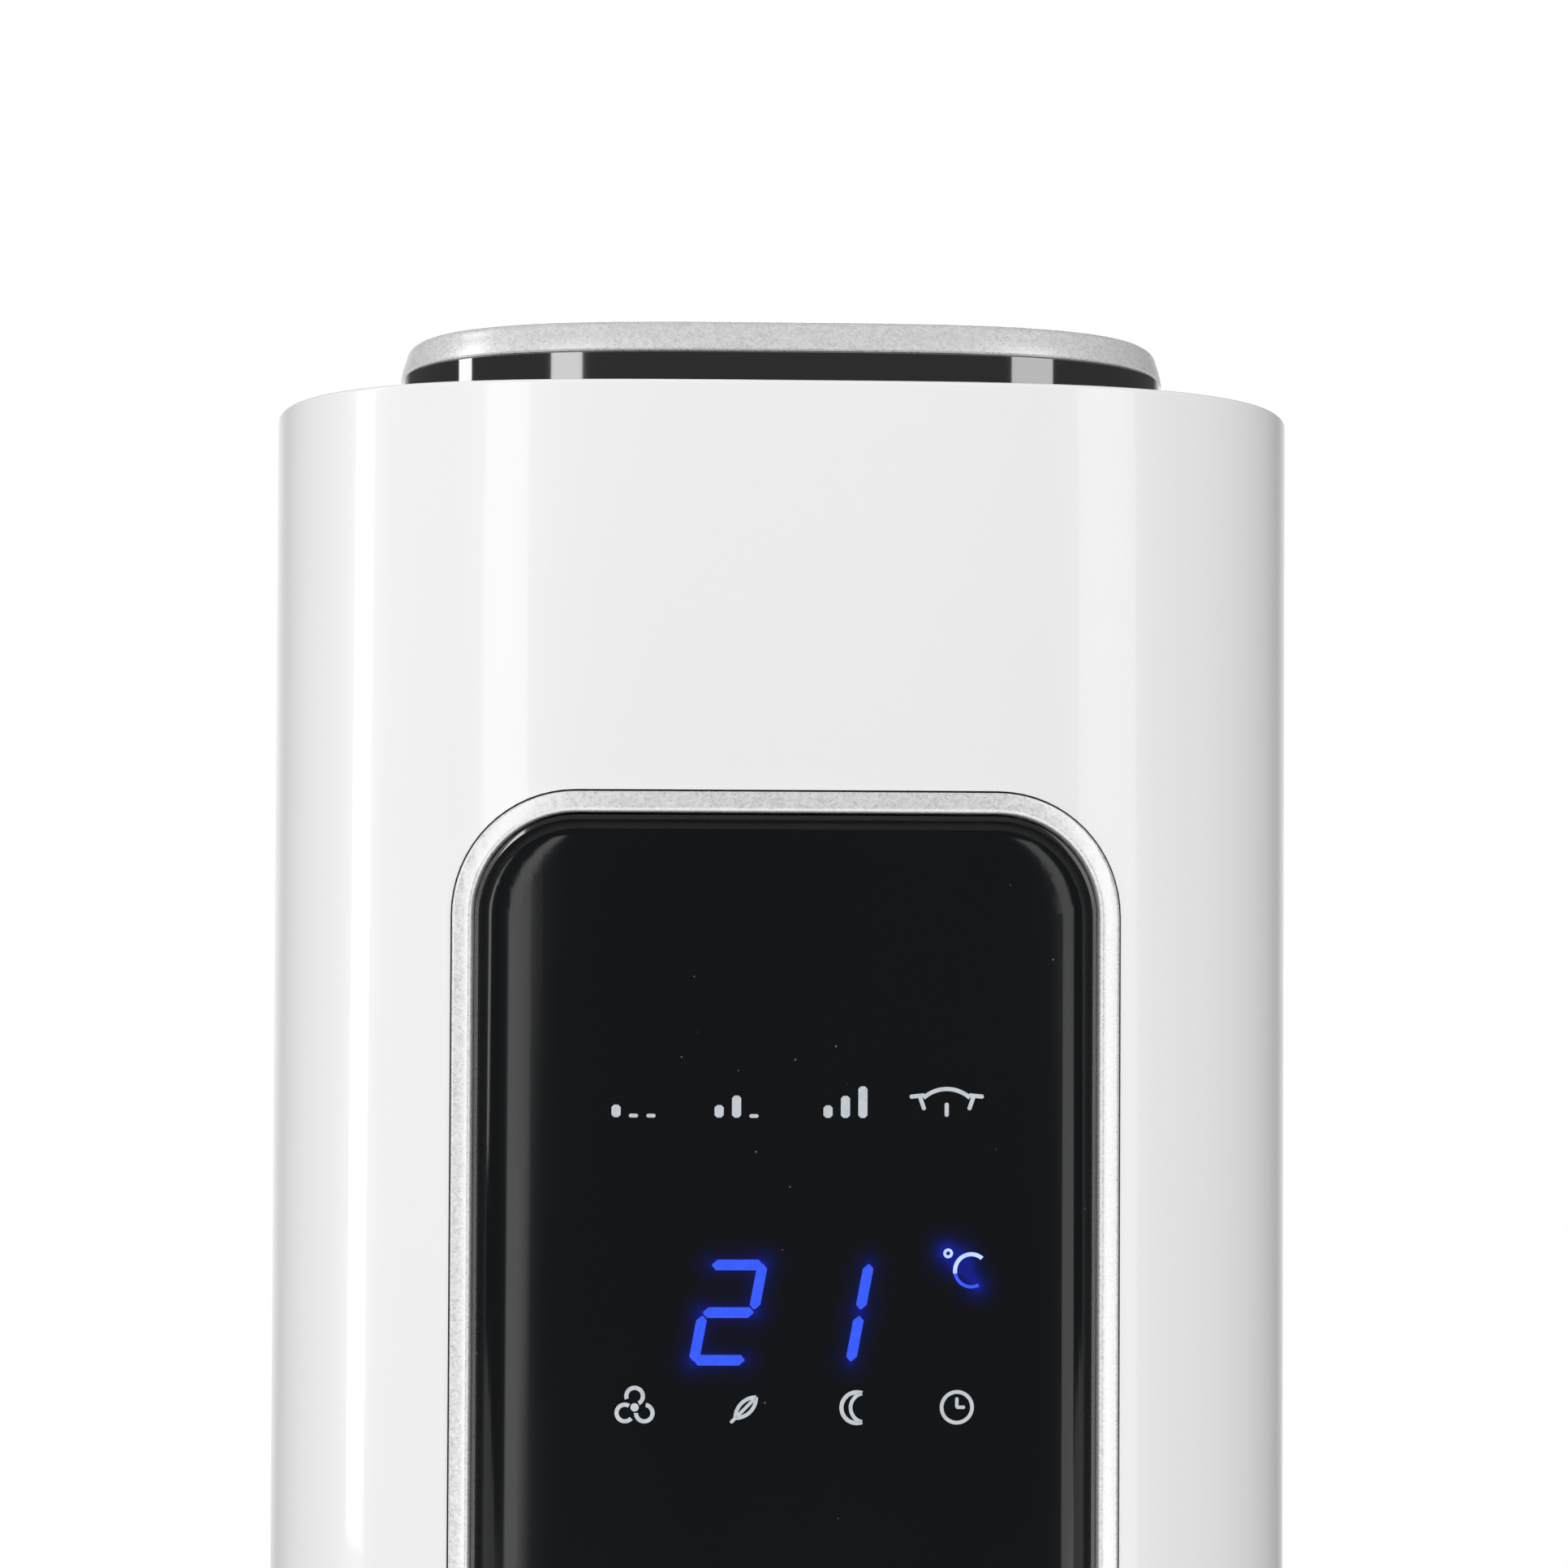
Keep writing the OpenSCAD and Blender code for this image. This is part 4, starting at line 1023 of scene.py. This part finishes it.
@dataclass
class Display:
    """The lit digits and the printed pictograms behind the lens's face."""

    column: Column
    lens_front: float
    lens_top: float

    SLANT = 0.185
    DIGIT = (9.2 * MM, 15.9 * MM)
    STROKE = 1.6 * MM
    DROP = 74.65 * MM
    TWO = -8.6 * MM
    ONE = 11.2 * MM
    MARK_SCALE = 1.25

    @classmethod
    def segments(cls) -> dict[str, tuple[Point2, Point2]]:
        """Returns each digit segment's middle and size."""
        width, height = cls.DIGIT
        half = height / 2
        stroke = cls.STROKE
        long_bar, tall_bar = (width - 1.05 * stroke, stroke), (stroke, half - 0.75 * stroke)
        side = (width - stroke) / 2
        return {
            "a": ((0, half - stroke / 2), long_bar), "g": ((0, 0), long_bar), "d": ((0, -half + stroke / 2), long_bar),
            "b": ((side, half / 2 - 0.05 * stroke), tall_bar), "c": ((side, -half / 2 + 0.05 * stroke), tall_bar),
            "e": ((-side, -half / 2 + 0.05 * stroke), tall_bar),
        }

    @classmethod
    def glowing(cls, lens_top: float) -> list[Stroke]:
        """Returns the lit strokes, in x and z."""
        height = lens_top - cls.DROP
        lines = []
        for centre, names in ((cls.TWO, "abged"), (cls.ONE, "bc")):
            for name in names:
                (x, z), (w, h) = cls.segments()[name]
                ends = [(-w / 2, 0), (w / 2, 0)] if w > h else [(0, -h / 2), (0, h / 2)]
                offset = -cls.unit_offset() if centre == cls.ONE else 0
                start, end = ((centre + x + dx + (z + dz) * cls.SLANT + offset, height + z + dz) for dx, dz in ends)
                lines.append(Stroke(start, end))
        lines.append(Stroke((24.3 * MM, height + 9.1 * MM), (26.6 * MM, height + 7.6 * MM), 3.2, 0.8 * MM))
        lines.append(Stroke((26.4 * MM, height + 7.4 * MM), (29.0 * MM, height + 3.9 * MM), 1.6, 0.8 * MM))
        return lines

    @classmethod
    def unit_offset(cls) -> float:
        """Returns how far the second digit's strokes shift left, which centres them on its place."""
        return (cls.DIGIT[0] - cls.STROKE) / 2

    def build(self) -> None:
        """Lays every mark on the lens."""
        height = self.lens_top - self.DROP
        self.digit("digit_left", self.TWO, "abged", height)
        self.digit("digit_right", self.ONE - self.unit_offset(), "bc", height)
        self.unit(height)
        self.upper_row(self.lens_top - 43.0 * MM)
        self.lower_row(self.lens_top - 88.9 * MM)

    def digit(self, name: str, x: float, lit: str, height: float) -> None:
        """Lays one lit digit."""
        mark = Mark((x, height))
        for key in lit:
            middle, size = self.segments()[key]
            mark.bar(middle, size, point=min(size) * 0.42, slant=self.SLANT)
        mark.lay(name, self.column.plan, self.lens_front, DIGIT_BLUE)

    def unit(self, height: float) -> None:
        """Lays the small degree unit."""
        mark = Mark((0, height))
        mark.arc((24.5 * MM, 8.9 * MM), 0.52 * MM, 0.42 * MM, 0, 360, 28)
        mark.arc((28.0 * MM, 6.3 * MM), 2.45 * MM, 0.6 * MM, 48, 190, 28)
        mark.lay("degree_unit", self.column.plan, self.lens_front, UNIT_BLUE)
        dim = Mark((0, height))
        dim.arc((28.0 * MM, 6.3 * MM), 2.45 * MM, 0.5 * MM, 190, 298, 14)
        dim.lay("degree_unit_tail", self.column.plan, self.lens_front, DIGIT_BLUE)

    def upper_row(self, height: float) -> None:
        """Lays the pictograms of the three speeds and of the swing."""
        for name, x, count in (("speed_one", -23.0, 1), ("speed_two", -7.5, 2), ("speed_three", 8.9, 3)):
            mark = Mark((x * MM, height))
            for step in range(3):
                size = (1.1 + 0.0 * step, 1.5 + 1.15 * step)
                place = ((step - 1) * 2.1 * MM, (size[1] - 3.8) / 2 * MM)
                if step < count:
                    mark.bar(place, (size[0] * MM, size[1] * MM), point=0.3 * MM)
                else:
                    mark.bar((place[0], -1.7 * MM), (size[0] * MM, 0.45 * MM), point=0.15 * MM)
            mark.lay(name, self.column.plan, self.lens_front, PRINT_GREY_PAINTED_GLOW, self.MARK_SCALE)
        mark = Mark((24.2 * MM, height))
        mark.arc((0, -2.6 * MM), 4.2 * MM, 0.5 * MM, 48, 132, 20)
        for side in (-1, 1):
            mark.bar((side * 3.0 * MM, -0.05 * MM), (1.9 * MM, 0.5 * MM), turn=side * 1.9, point=0.15 * MM)
            mark.bar((side * 3.55 * MM, 0.75 * MM), (1.9 * MM, 0.5 * MM), turn=side * 0.1, point=0.15 * MM)
        mark.bar((0, -0.9 * MM), (0.5 * MM, 1.7 * MM), point=0.15 * MM)
        mark.lay("swing_arrow", self.column.plan, self.lens_front, PRINT_GREY_PAINTED_GLOW, self.MARK_SCALE)

    def lower_row(self, height: float) -> None:
        """Lays the pictograms of the modes and of the timer."""
        rotor = Mark((-22.6 * MM, height))
        rotor.disc((0, 0), 0.5 * MM)
        for step in range(3):
            turn = math.radians(90 + 120 * step)
            rotor.arc((1.35 * MM * math.cos(turn), 1.35 * MM * math.sin(turn)), 1.0 * MM, 0.5 * MM,
                      120 * step - 60, 120 * step + 200, 16)
        rotor.lay("mode_rotor", self.column.plan, self.lens_front, PRINT_GREY_PAINTED_GLOW, self.MARK_SCALE)
        leaf = Mark((-5.9 * MM, height))
        leaf.arc((-1.25 * MM, 1.25 * MM), 2.5 * MM, 0.45 * MM, -90, 0, 16)
        leaf.arc((1.25 * MM, -1.25 * MM), 2.5 * MM, 0.45 * MM, 90, 180, 16)
        leaf.bar((-0.35 * MM, -0.35 * MM), (4.2 * MM, 0.4 * MM), turn=-math.pi / 4, point=0.12 * MM)
        leaf.lay("mode_leaf", self.column.plan, self.lens_front, PRINT_GREY_PAINTED_GLOW, self.MARK_SCALE)
        moon = Mark((10.8 * MM, height))
        moon.arc((0, 0), 1.85 * MM, 0.5 * MM, 70, 290, 24)
        moon.arc((1.0 * MM, 0), 1.75 * MM, 0.45 * MM, 102, 258, 20)
        moon.lay("mode_moon", self.column.plan, self.lens_front, PRINT_GREY_PAINTED_GLOW, self.MARK_SCALE)
        clock = Mark((25.9 * MM, height))
        clock.arc((0, 0), 1.85 * MM, 0.45 * MM, 0, 360, 32)
        clock.bar((0, 0.55 * MM), (0.4 * MM, 1.3 * MM), point=0.12 * MM)
        clock.bar((0.45 * MM, 0), (1.1 * MM, 0.4 * MM), point=0.12 * MM)
        clock.lay("timer_clock", self.column.plan, self.lens_front, PRINT_GREY_PAINTED_GLOW, self.MARK_SCALE)


# ---------- Cap ----------

class Key(Enum):
    """The buttons on the control panel, by their body's name."""

    POWER = "power"
    MODE = "mode"
    SPEED = "speed"
    SWING = "swing"
    TIMER = "timer"


@dataclass
class Cap:
    """The black band, the silver ring, the control panel and its buttons."""

    column: Column
    taper: float = 1.5 * MM
    ring_round: float = 1.3 * MM
    ring_face: float = 5.0 * MM

    def build(self) -> None:
        """Builds the cap."""
        self.build_band()
        self.build_ring()
        self.build_panel()
        for key in Key:
            self.build_button(key)

    def build_band(self) -> None:
        """Builds the gloss black band."""
        low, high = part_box("neck_band")
        plan = self.column.cap_plan
        wall = 2.4 * MM
        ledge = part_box("top_trim_ring")[0].z
        lip = ledge - 0.25 * MM
        stations = [Station(plan, 0.15 * MM, low.z + 2 * MM), Station(plan, 0.15 * MM, lip),
                    Station(plan, 0.45 * MM, ledge), Station(plan, 9.8 * MM, ledge),
                    Station(plan, 9.8 * MM, ledge - 2 * MM), Station(plan, wall, ledge - 2 * MM),
                    Station(plan, wall, low.z + 2 * MM)]
        band = Shape().sweep(stations, count=240, closed=True).piece("cap_band")
        finished(band, FINISHES["black_gloss"].material(), "column", ["neck_band"])

    def build_ring(self) -> None:
        """Builds the silver ring, whose sides lean in and round over into its top."""
        low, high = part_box("top_trim_ring")
        plan = self.column.cap_plan
        height = high.z - low.z
        stations = [Station(plan, 0.35 * MM, low.z), Station(plan, 0.0, low.z + 0.3 * MM)]
        shoulder = height - self.ring_round
        for share in (0.35, 0.7, 1.0):
            stations.append(Station(plan, self.taper * 0.62 * share ** 1.6, low.z + shoulder * share))
        base = self.taper * 0.62
        for inward, up in rounding(self.ring_round, 6)[1:]:
            stations.append(Station(plan, base + inward * 1.25, low.z + shoulder + up))
        stations += [Station(plan, self.ring_face - 0.4 * MM, high.z), Station(plan, self.ring_face, high.z - 0.4 * MM),
                     Station(plan, self.ring_face, low.z)]
        ring = Shape().sweep(stations, count=240, closed=True).piece("cap_ring")
        finished(ring, FINISHES["silver_satin"].material(), "column", ["top_trim_ring"])

    def build_panel(self) -> None:
        """Builds the control panel with a hole for each button."""
        low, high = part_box("control_panel")
        plan = self.column.cap_plan
        inset = self.ring_face + 0.15 * MM
        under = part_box("top_trim_ring")[0].z
        stations = [Station(plan, inset, under), Station(plan, inset, high.z - 0.5 * MM)]
        stations += [Station(plan, inset + inward, high.z - 0.5 * MM + up) for inward, up in rounding(0.5 * MM, 4)[1:]]
        shape = Shape().sweep(stations, count=240).cap(under).cap(high.z)
        panel = shape.piece("top_panel")
        cutters = []
        for key in Key:
            a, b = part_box(key.value + "_button")
            radius = self.key_radius(key) + 0.3 * MM
            cutter = Shape()
            place = Matrix.Translation(((a.x + b.x) / 2, (a.y + b.y) / 2, high.z))
            bmesh.ops.create_cone(cutter.bm, cap_ends=True, segments=72, radius1=radius, radius2=radius,
                                  depth=0.02, matrix=place)
            cutters.append(cutter.piece(key.value + "_hole"))
        carve(panel, cutters)
        finished(panel, FINISHES["black_gloss"].material(), "column", ["control_panel"])

    @staticmethod
    def key_radius(key: Key) -> float:
        """Returns the radius of a button's cap, which is its lip's less 1.4 mm."""
        a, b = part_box(key.value + "_button")
        return (b.x - a.x) / 2 - 1.4 * MM

    def build_button(self, key: Key) -> None:
        """Builds a button: a dished cap on a lip and a stem, with a small raised pictogram."""
        node = key.value + "_button"
        low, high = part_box(node)
        centre = ((low.x + high.x) / 2, (low.y + high.y) / 2)
        radius = self.key_radius(key)
        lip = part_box("top_trim_ring")[0].z - 0.2 * MM
        stem = 1.5 * MM
        dish = 0.5 * MM
        profile: list[Point2] = [(0, low.z), (stem, low.z), (stem, lip - 1.5 * MM),
                                 (radius + 1.4 * MM, lip - 1.5 * MM), (radius + 1.4 * MM, lip), (radius, lip)]
        profile += [(radius - inward, high.z - 0.6 * MM + up) for inward, up in rounding(0.6 * MM, 5)]
        profile += [((radius - 1.2 * MM) * (1 - s / 8), high.z - dish * (1 - (1 - s / 8) ** 2)) for s in range(0, 9)]
        cap = Shape().turned(profile, centre, 72).piece(key.value + "_key_cap")
        finished(cap, FINISHES["button_black"].material(), key.value + "_key", [node])
        self.build_symbol(key, centre, high.z - dish)

    def build_symbol(self, key: Key, centre: Point2, height: float) -> None:
        """Lays a printed pictogram on a button."""
        mark = Mark((0, 0))
        if key is Key.POWER:
            mark.arc((0, 0), 3.2 * MM, 0.6 * MM, 120, 420, 28).bar((0, 2.6 * MM), (0.6 * MM, 2.6 * MM))
        elif key is Key.MODE:
            for step in range(3):
                mark.disc(((step - 1) * 1.9 * MM, 0), 0.55 * MM)
        elif key is Key.SPEED:
            for step in range(3):
                mark.bar(((step - 1) * 1.5 * MM, (step - 1) * 0.5 * MM), (0.7 * MM, (1.4 + step) * MM))
        elif key is Key.SWING:
            mark.arc((0, -1.4 * MM), 2.6 * MM, 0.5 * MM, 35, 145, 20).bar((0, -0.6 * MM), (0.5 * MM, 1.6 * MM))
        else:
            mark.arc((0, 0), 2.0 * MM, 0.5 * MM, 0, 360, 28).bar((0, 0.6 * MM), (0.45 * MM, 1.3 * MM))
            mark.bar((0.5 * MM, 0), (1.1 * MM, 0.45 * MM))
        lay_flat = Matrix.Translation((*centre, height + 0.04 * MM)) @ Matrix.Rotation(-math.pi / 2, 4, "X")
        mark.shape.thicken(0.3 * MM)
        bmesh.ops.transform(mark.shape.bm, matrix=lay_flat, verts=mark.shape.bm.verts)
        mark.shape.outward()
        finished(mark.shape.piece(key.value + "_symbol"), PRINT_GREY_PAINTED_GLOW.material(), key.value + "_key")


# ---------- Base ----------

@dataclass
class Base:
    """The domed cover, its silver ring and the black neck."""

    wall: float = 2.6 * MM
    edge: float = 14 * MM

    def build(self) -> None:
        """Builds the base's visible pieces."""
        low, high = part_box("base_cover")
        ring_low, ring_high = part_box("base_trim_ring")
        neck_low, neck_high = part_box("base_neck")
        dome = ring_high.x
        profile = [(high.x - self.wall, low.z), (high.x - 0.4 * MM, low.z), (high.x, low.z + 0.4 * MM)]
        profile += self.arch(high.x, dome, self.edge, high.z)
        profile += [(11.5 * MM, high.z), (11.5 * MM, high.z - self.wall)]
        profile += self.arch(high.x - self.wall, dome, self.edge - MM, high.z - self.wall)[::-1]
        profile.append(profile[0])
        cover = Shape().turned(profile, steps=180).piece("base_dome")
        gland_low, gland_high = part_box("cord_gland")
        hole = Shape()
        place = Matrix.Translation((0, high.y, (gland_low.z + gland_high.z) / 2)) @ Matrix.Rotation(math.pi / 2, 4, "X")
        bmesh.ops.create_cone(hole.bm, cap_ends=True, segments=48, radius1=5.3 * MM, radius2=5.3 * MM, depth=0.03,
                              matrix=place)
        carve(cover, [hole.piece("gland_hole")])
        finished(cover, FINISHES["white_gloss"].material(), "base", ["base_cover"])
        self.band("base_ring", ring_low, ring_high, neck_high.x + 0.3 * MM, "silver_satin", "base_trim_ring", 0.9 * MM)
        self.band("base_band", neck_low, neck_high, neck_high.x - 3.5 * MM, "black_gloss", "base_neck", 0.4 * MM)

    @staticmethod
    def arch(outer: float, inner: float, low: float, high: float, steps: int = 28) -> list[Point2]:
        """Returns a quarter ellipse from the outer edge up to the flat top."""
        angles = [math.pi / 2 * s / steps for s in range(steps + 1)]
        return [(inner + (outer - inner) * math.cos(a), low + (high - low) * math.sin(a)) for a in angles]

    @staticmethod
    def band(name: str, low: Vector, high: Vector, bore: float, slot: str, node: str, radius: float) -> None:
        """Builds a round band with a rounded upper edge."""
        profile = [(bore, low.z), (high.x, low.z)]
        profile += [(high.x - inward, high.z - radius + up) for inward, up in rounding(radius, 5)]
        profile += [(bore, high.z), (bore, low.z)]
        piece = Shape().turned(profile, steps=144).piece(name)
        finished(piece, FINISHES[slot].material(), "base", [node])


# ---------- Scene ----------

def dress_frame() -> None:
    """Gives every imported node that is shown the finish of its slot."""
    slots = {part["node"]: part["material_slot"] for part in frame["record"]["subparts"]}
    for name, node in frame["nodes"].items():
        finish = FINISHES.get(slots[name])
        if finish is None or node.hide_render:
            continue
        node.data.materials.clear()
        node.data.materials.append(finish.material())
        LOG.info("node %s: %s", name, finish.name)


@dataclass
class Studio:
    """The camera, the lamps, the floor and the world."""

    rim: float
    lens_mm: float = 59.63
    distance: float = 0.4615
    below_rim: float = 0.0754
    yaw: float = 1.26
    roll: float = 0.27
    pitch: float = 0.76
    lamp_distance: float = 1.3
    floor_radius: float = 2.6
    shift: Point2 = (0.0042, 0.0380)

    def build(self) -> None:
        """Sets up the studio."""
        self.camera()
        self.world()
        self.floor()
        self.strip("left_key", -24, 1.05, (0.19, 1.7), 2.7)
        self.strip("left_side", -70, 1.36, (0.22, 1.27), 3.6)
        self.strip("right_fill", 35.5, 1.05, (0.33, 1.7), 3.6)
        self.strip("rear_fill", 180, 1.25, (0.60, 1.3), 7.0)

    def camera(self) -> None:
        """Places the camera in front of the column, just below its rim."""
        data = bpy.data.cameras.new("camera")
        data.lens, data.sensor_width = self.lens_mm, 36
        data.shift_x, data.shift_y = self.shift
        data.clip_start, data.clip_end = 0.01, 50
        eye = bpy.data.objects.new("camera", data)
        bpy.context.scene.collection.objects.link(eye)
        turn = math.radians(self.yaw)
        eye.matrix_world = (
            Matrix.Translation((-self.distance * math.sin(turn), -self.distance * math.cos(turn), self.rim - self.below_rim))
            @ Matrix.Rotation(-turn, 4, "Z") @ Matrix.Rotation(math.pi / 2 + math.radians(self.pitch), 4, "X")
            @ Matrix.Rotation(math.radians(self.roll), 4, "Z"))
        bpy.context.scene.camera = eye

    def world(self) -> None:
        """Makes a white backdrop: full white to the camera, paler behind the fan than in front of it."""
        world = bpy.data.worlds.new("studio")
        world.use_nodes = True
        tree = world.node_tree
        background = tree.nodes["Background"]
        place = tree.nodes.new("ShaderNodeTexCoord")
        split = tree.nodes.new("ShaderNodeSeparateXYZ")
        tree.links.new(place.outputs["Generated"], split.inputs[0])
        depth = tree.nodes.new("ShaderNodeMapRange")
        depth.interpolation_type = "SMOOTHSTEP"
        for key, number in (("From Min", 0.75), ("From Max", 0.98), ("To Min", 0.10), ("To Max", 1.0)):
            depth.inputs[key].default_value = number
        tree.links.new(split.outputs["Y"], depth.inputs["Value"])
        path = tree.nodes.new("ShaderNodeLightPath")
        soft = tree.nodes.new("ShaderNodeMapRange")
        for key, number in (("From Min", -1.0), ("From Max", 1.0), ("To Min", 0.24), ("To Max", 1.03)):
            soft.inputs[key].default_value = number
        facing = tree.nodes.new("ShaderNodeVectorMath")
        facing.operation = "DOT_PRODUCT"
        facing.inputs[1].default_value = (-0.45, -0.77, 0.45)
        tree.links.new(place.outputs["Generated"], facing.inputs[0])
        tree.links.new(facing.outputs["Value"], soft.inputs["Value"])
        diffuse = tree.nodes.new("ShaderNodeMix")
        tree.links.new(soft.outputs["Result"], diffuse.inputs["A"])
        seen = tree.nodes.new("ShaderNodeMath")
        seen.operation = "MAXIMUM"
        tree.links.new(path.outputs["Is Glossy Ray"], seen.inputs[0])
        tree.links.new(path.outputs["Is Transmission Ray"], seen.inputs[1])
        tree.links.new(seen.outputs[0], diffuse.inputs["Factor"])
        tree.links.new(depth.outputs["Result"], diffuse.inputs["B"])
        level = tree.nodes.new("ShaderNodeMix")
        level.inputs["B"].default_value = 1.0
        tree.links.new(path.outputs["Is Camera Ray"], level.inputs["Factor"])
        tree.links.new(diffuse.outputs["Result"], level.inputs["A"])
        tree.links.new(level.outputs["Result"], background.inputs["Strength"])
        background.inputs["Color"].default_value = (1, 1, 1, 1)
        bpy.context.scene.world = world

    def floor(self) -> None:
        """Lays a round pale floor, which keeps the fan's shadow and fades to the backdrop's white at its edge."""
        shape = Shape()
        bmesh.ops.create_circle(shape.bm, cap_ends=True, segments=96, radius=self.floor_radius)
        ground = shape.piece("floor")
        graph = NodeGraph("floor")
        length = graph.add("ShaderNodeVectorMath", operation="LENGTH")
        graph.join(graph.place, length.inputs[0])
        fade = graph.span(length.outputs["Value"], 0, 1, (0.25 * self.floor_radius, 0.95 * self.floor_radius))
        graph.colour(graph.blend(fade, (0.42, 0.42, 0.42), (0, 0, 0)))
        graph.set(Roughness=0.9, Specular_IOR_Level=0.0, Emission_Color=(1, 1, 1, 1))
        path = graph.add("ShaderNodeLightPath")
        seen = graph.maths("MAXIMUM", path.outputs["Is Camera Ray"], path.outputs["Is Glossy Ray"])
        seen = graph.maths("MAXIMUM", seen, path.outputs["Is Transmission Ray"])
        lift = graph.span(fade, 0.64, 1.0, (0, 1))
        graph.join(graph.maths("MULTIPLY", seen, lift), graph.shader.inputs["Emission Strength"])
        ground.data.materials.append(graph.material)

    def strip(self, name: str, azimuth: float, height: float, size: Point2, power: float) -> None:
        """Adds an upright light box that faces the swing axis.

        Args:
            name: The lamp's name.
            azimuth: Its direction from the front, positive to the right, in degrees.
            height: The height of its middle.
            size: Its width and height.
            power: Its power in watts.
        """
        data = bpy.data.lights.new(name, "AREA")
        data.shape, data.energy = "RECTANGLE", power
        data.size, data.size_y = size
        lamp = bpy.data.objects.new(name, data)
        bpy.context.scene.collection.objects.link(lamp)
        angle = math.radians(azimuth)
        lamp.matrix_world = (Matrix.Rotation(angle, 4, "Z") @ Matrix.Translation((0, -self.lamp_distance, height))
                             @ Matrix.Rotation(math.pi / 2, 4, "X"))


def main() -> None:
    """Builds the fan's sub-assemblies, dresses the frame and sets up the studio."""
    logging.basicConfig(level=logging.INFO, format="%(name)s: %(message)s")
    column = Column()
    Studio(column.rim).build()
    column.build()
    Front(column).build()
    Cap(column).build()
    Base().build()
    dress_frame()
    bpy.context.scene.view_settings.view_transform = "Standard"


if __name__ == "__main__":
    main()
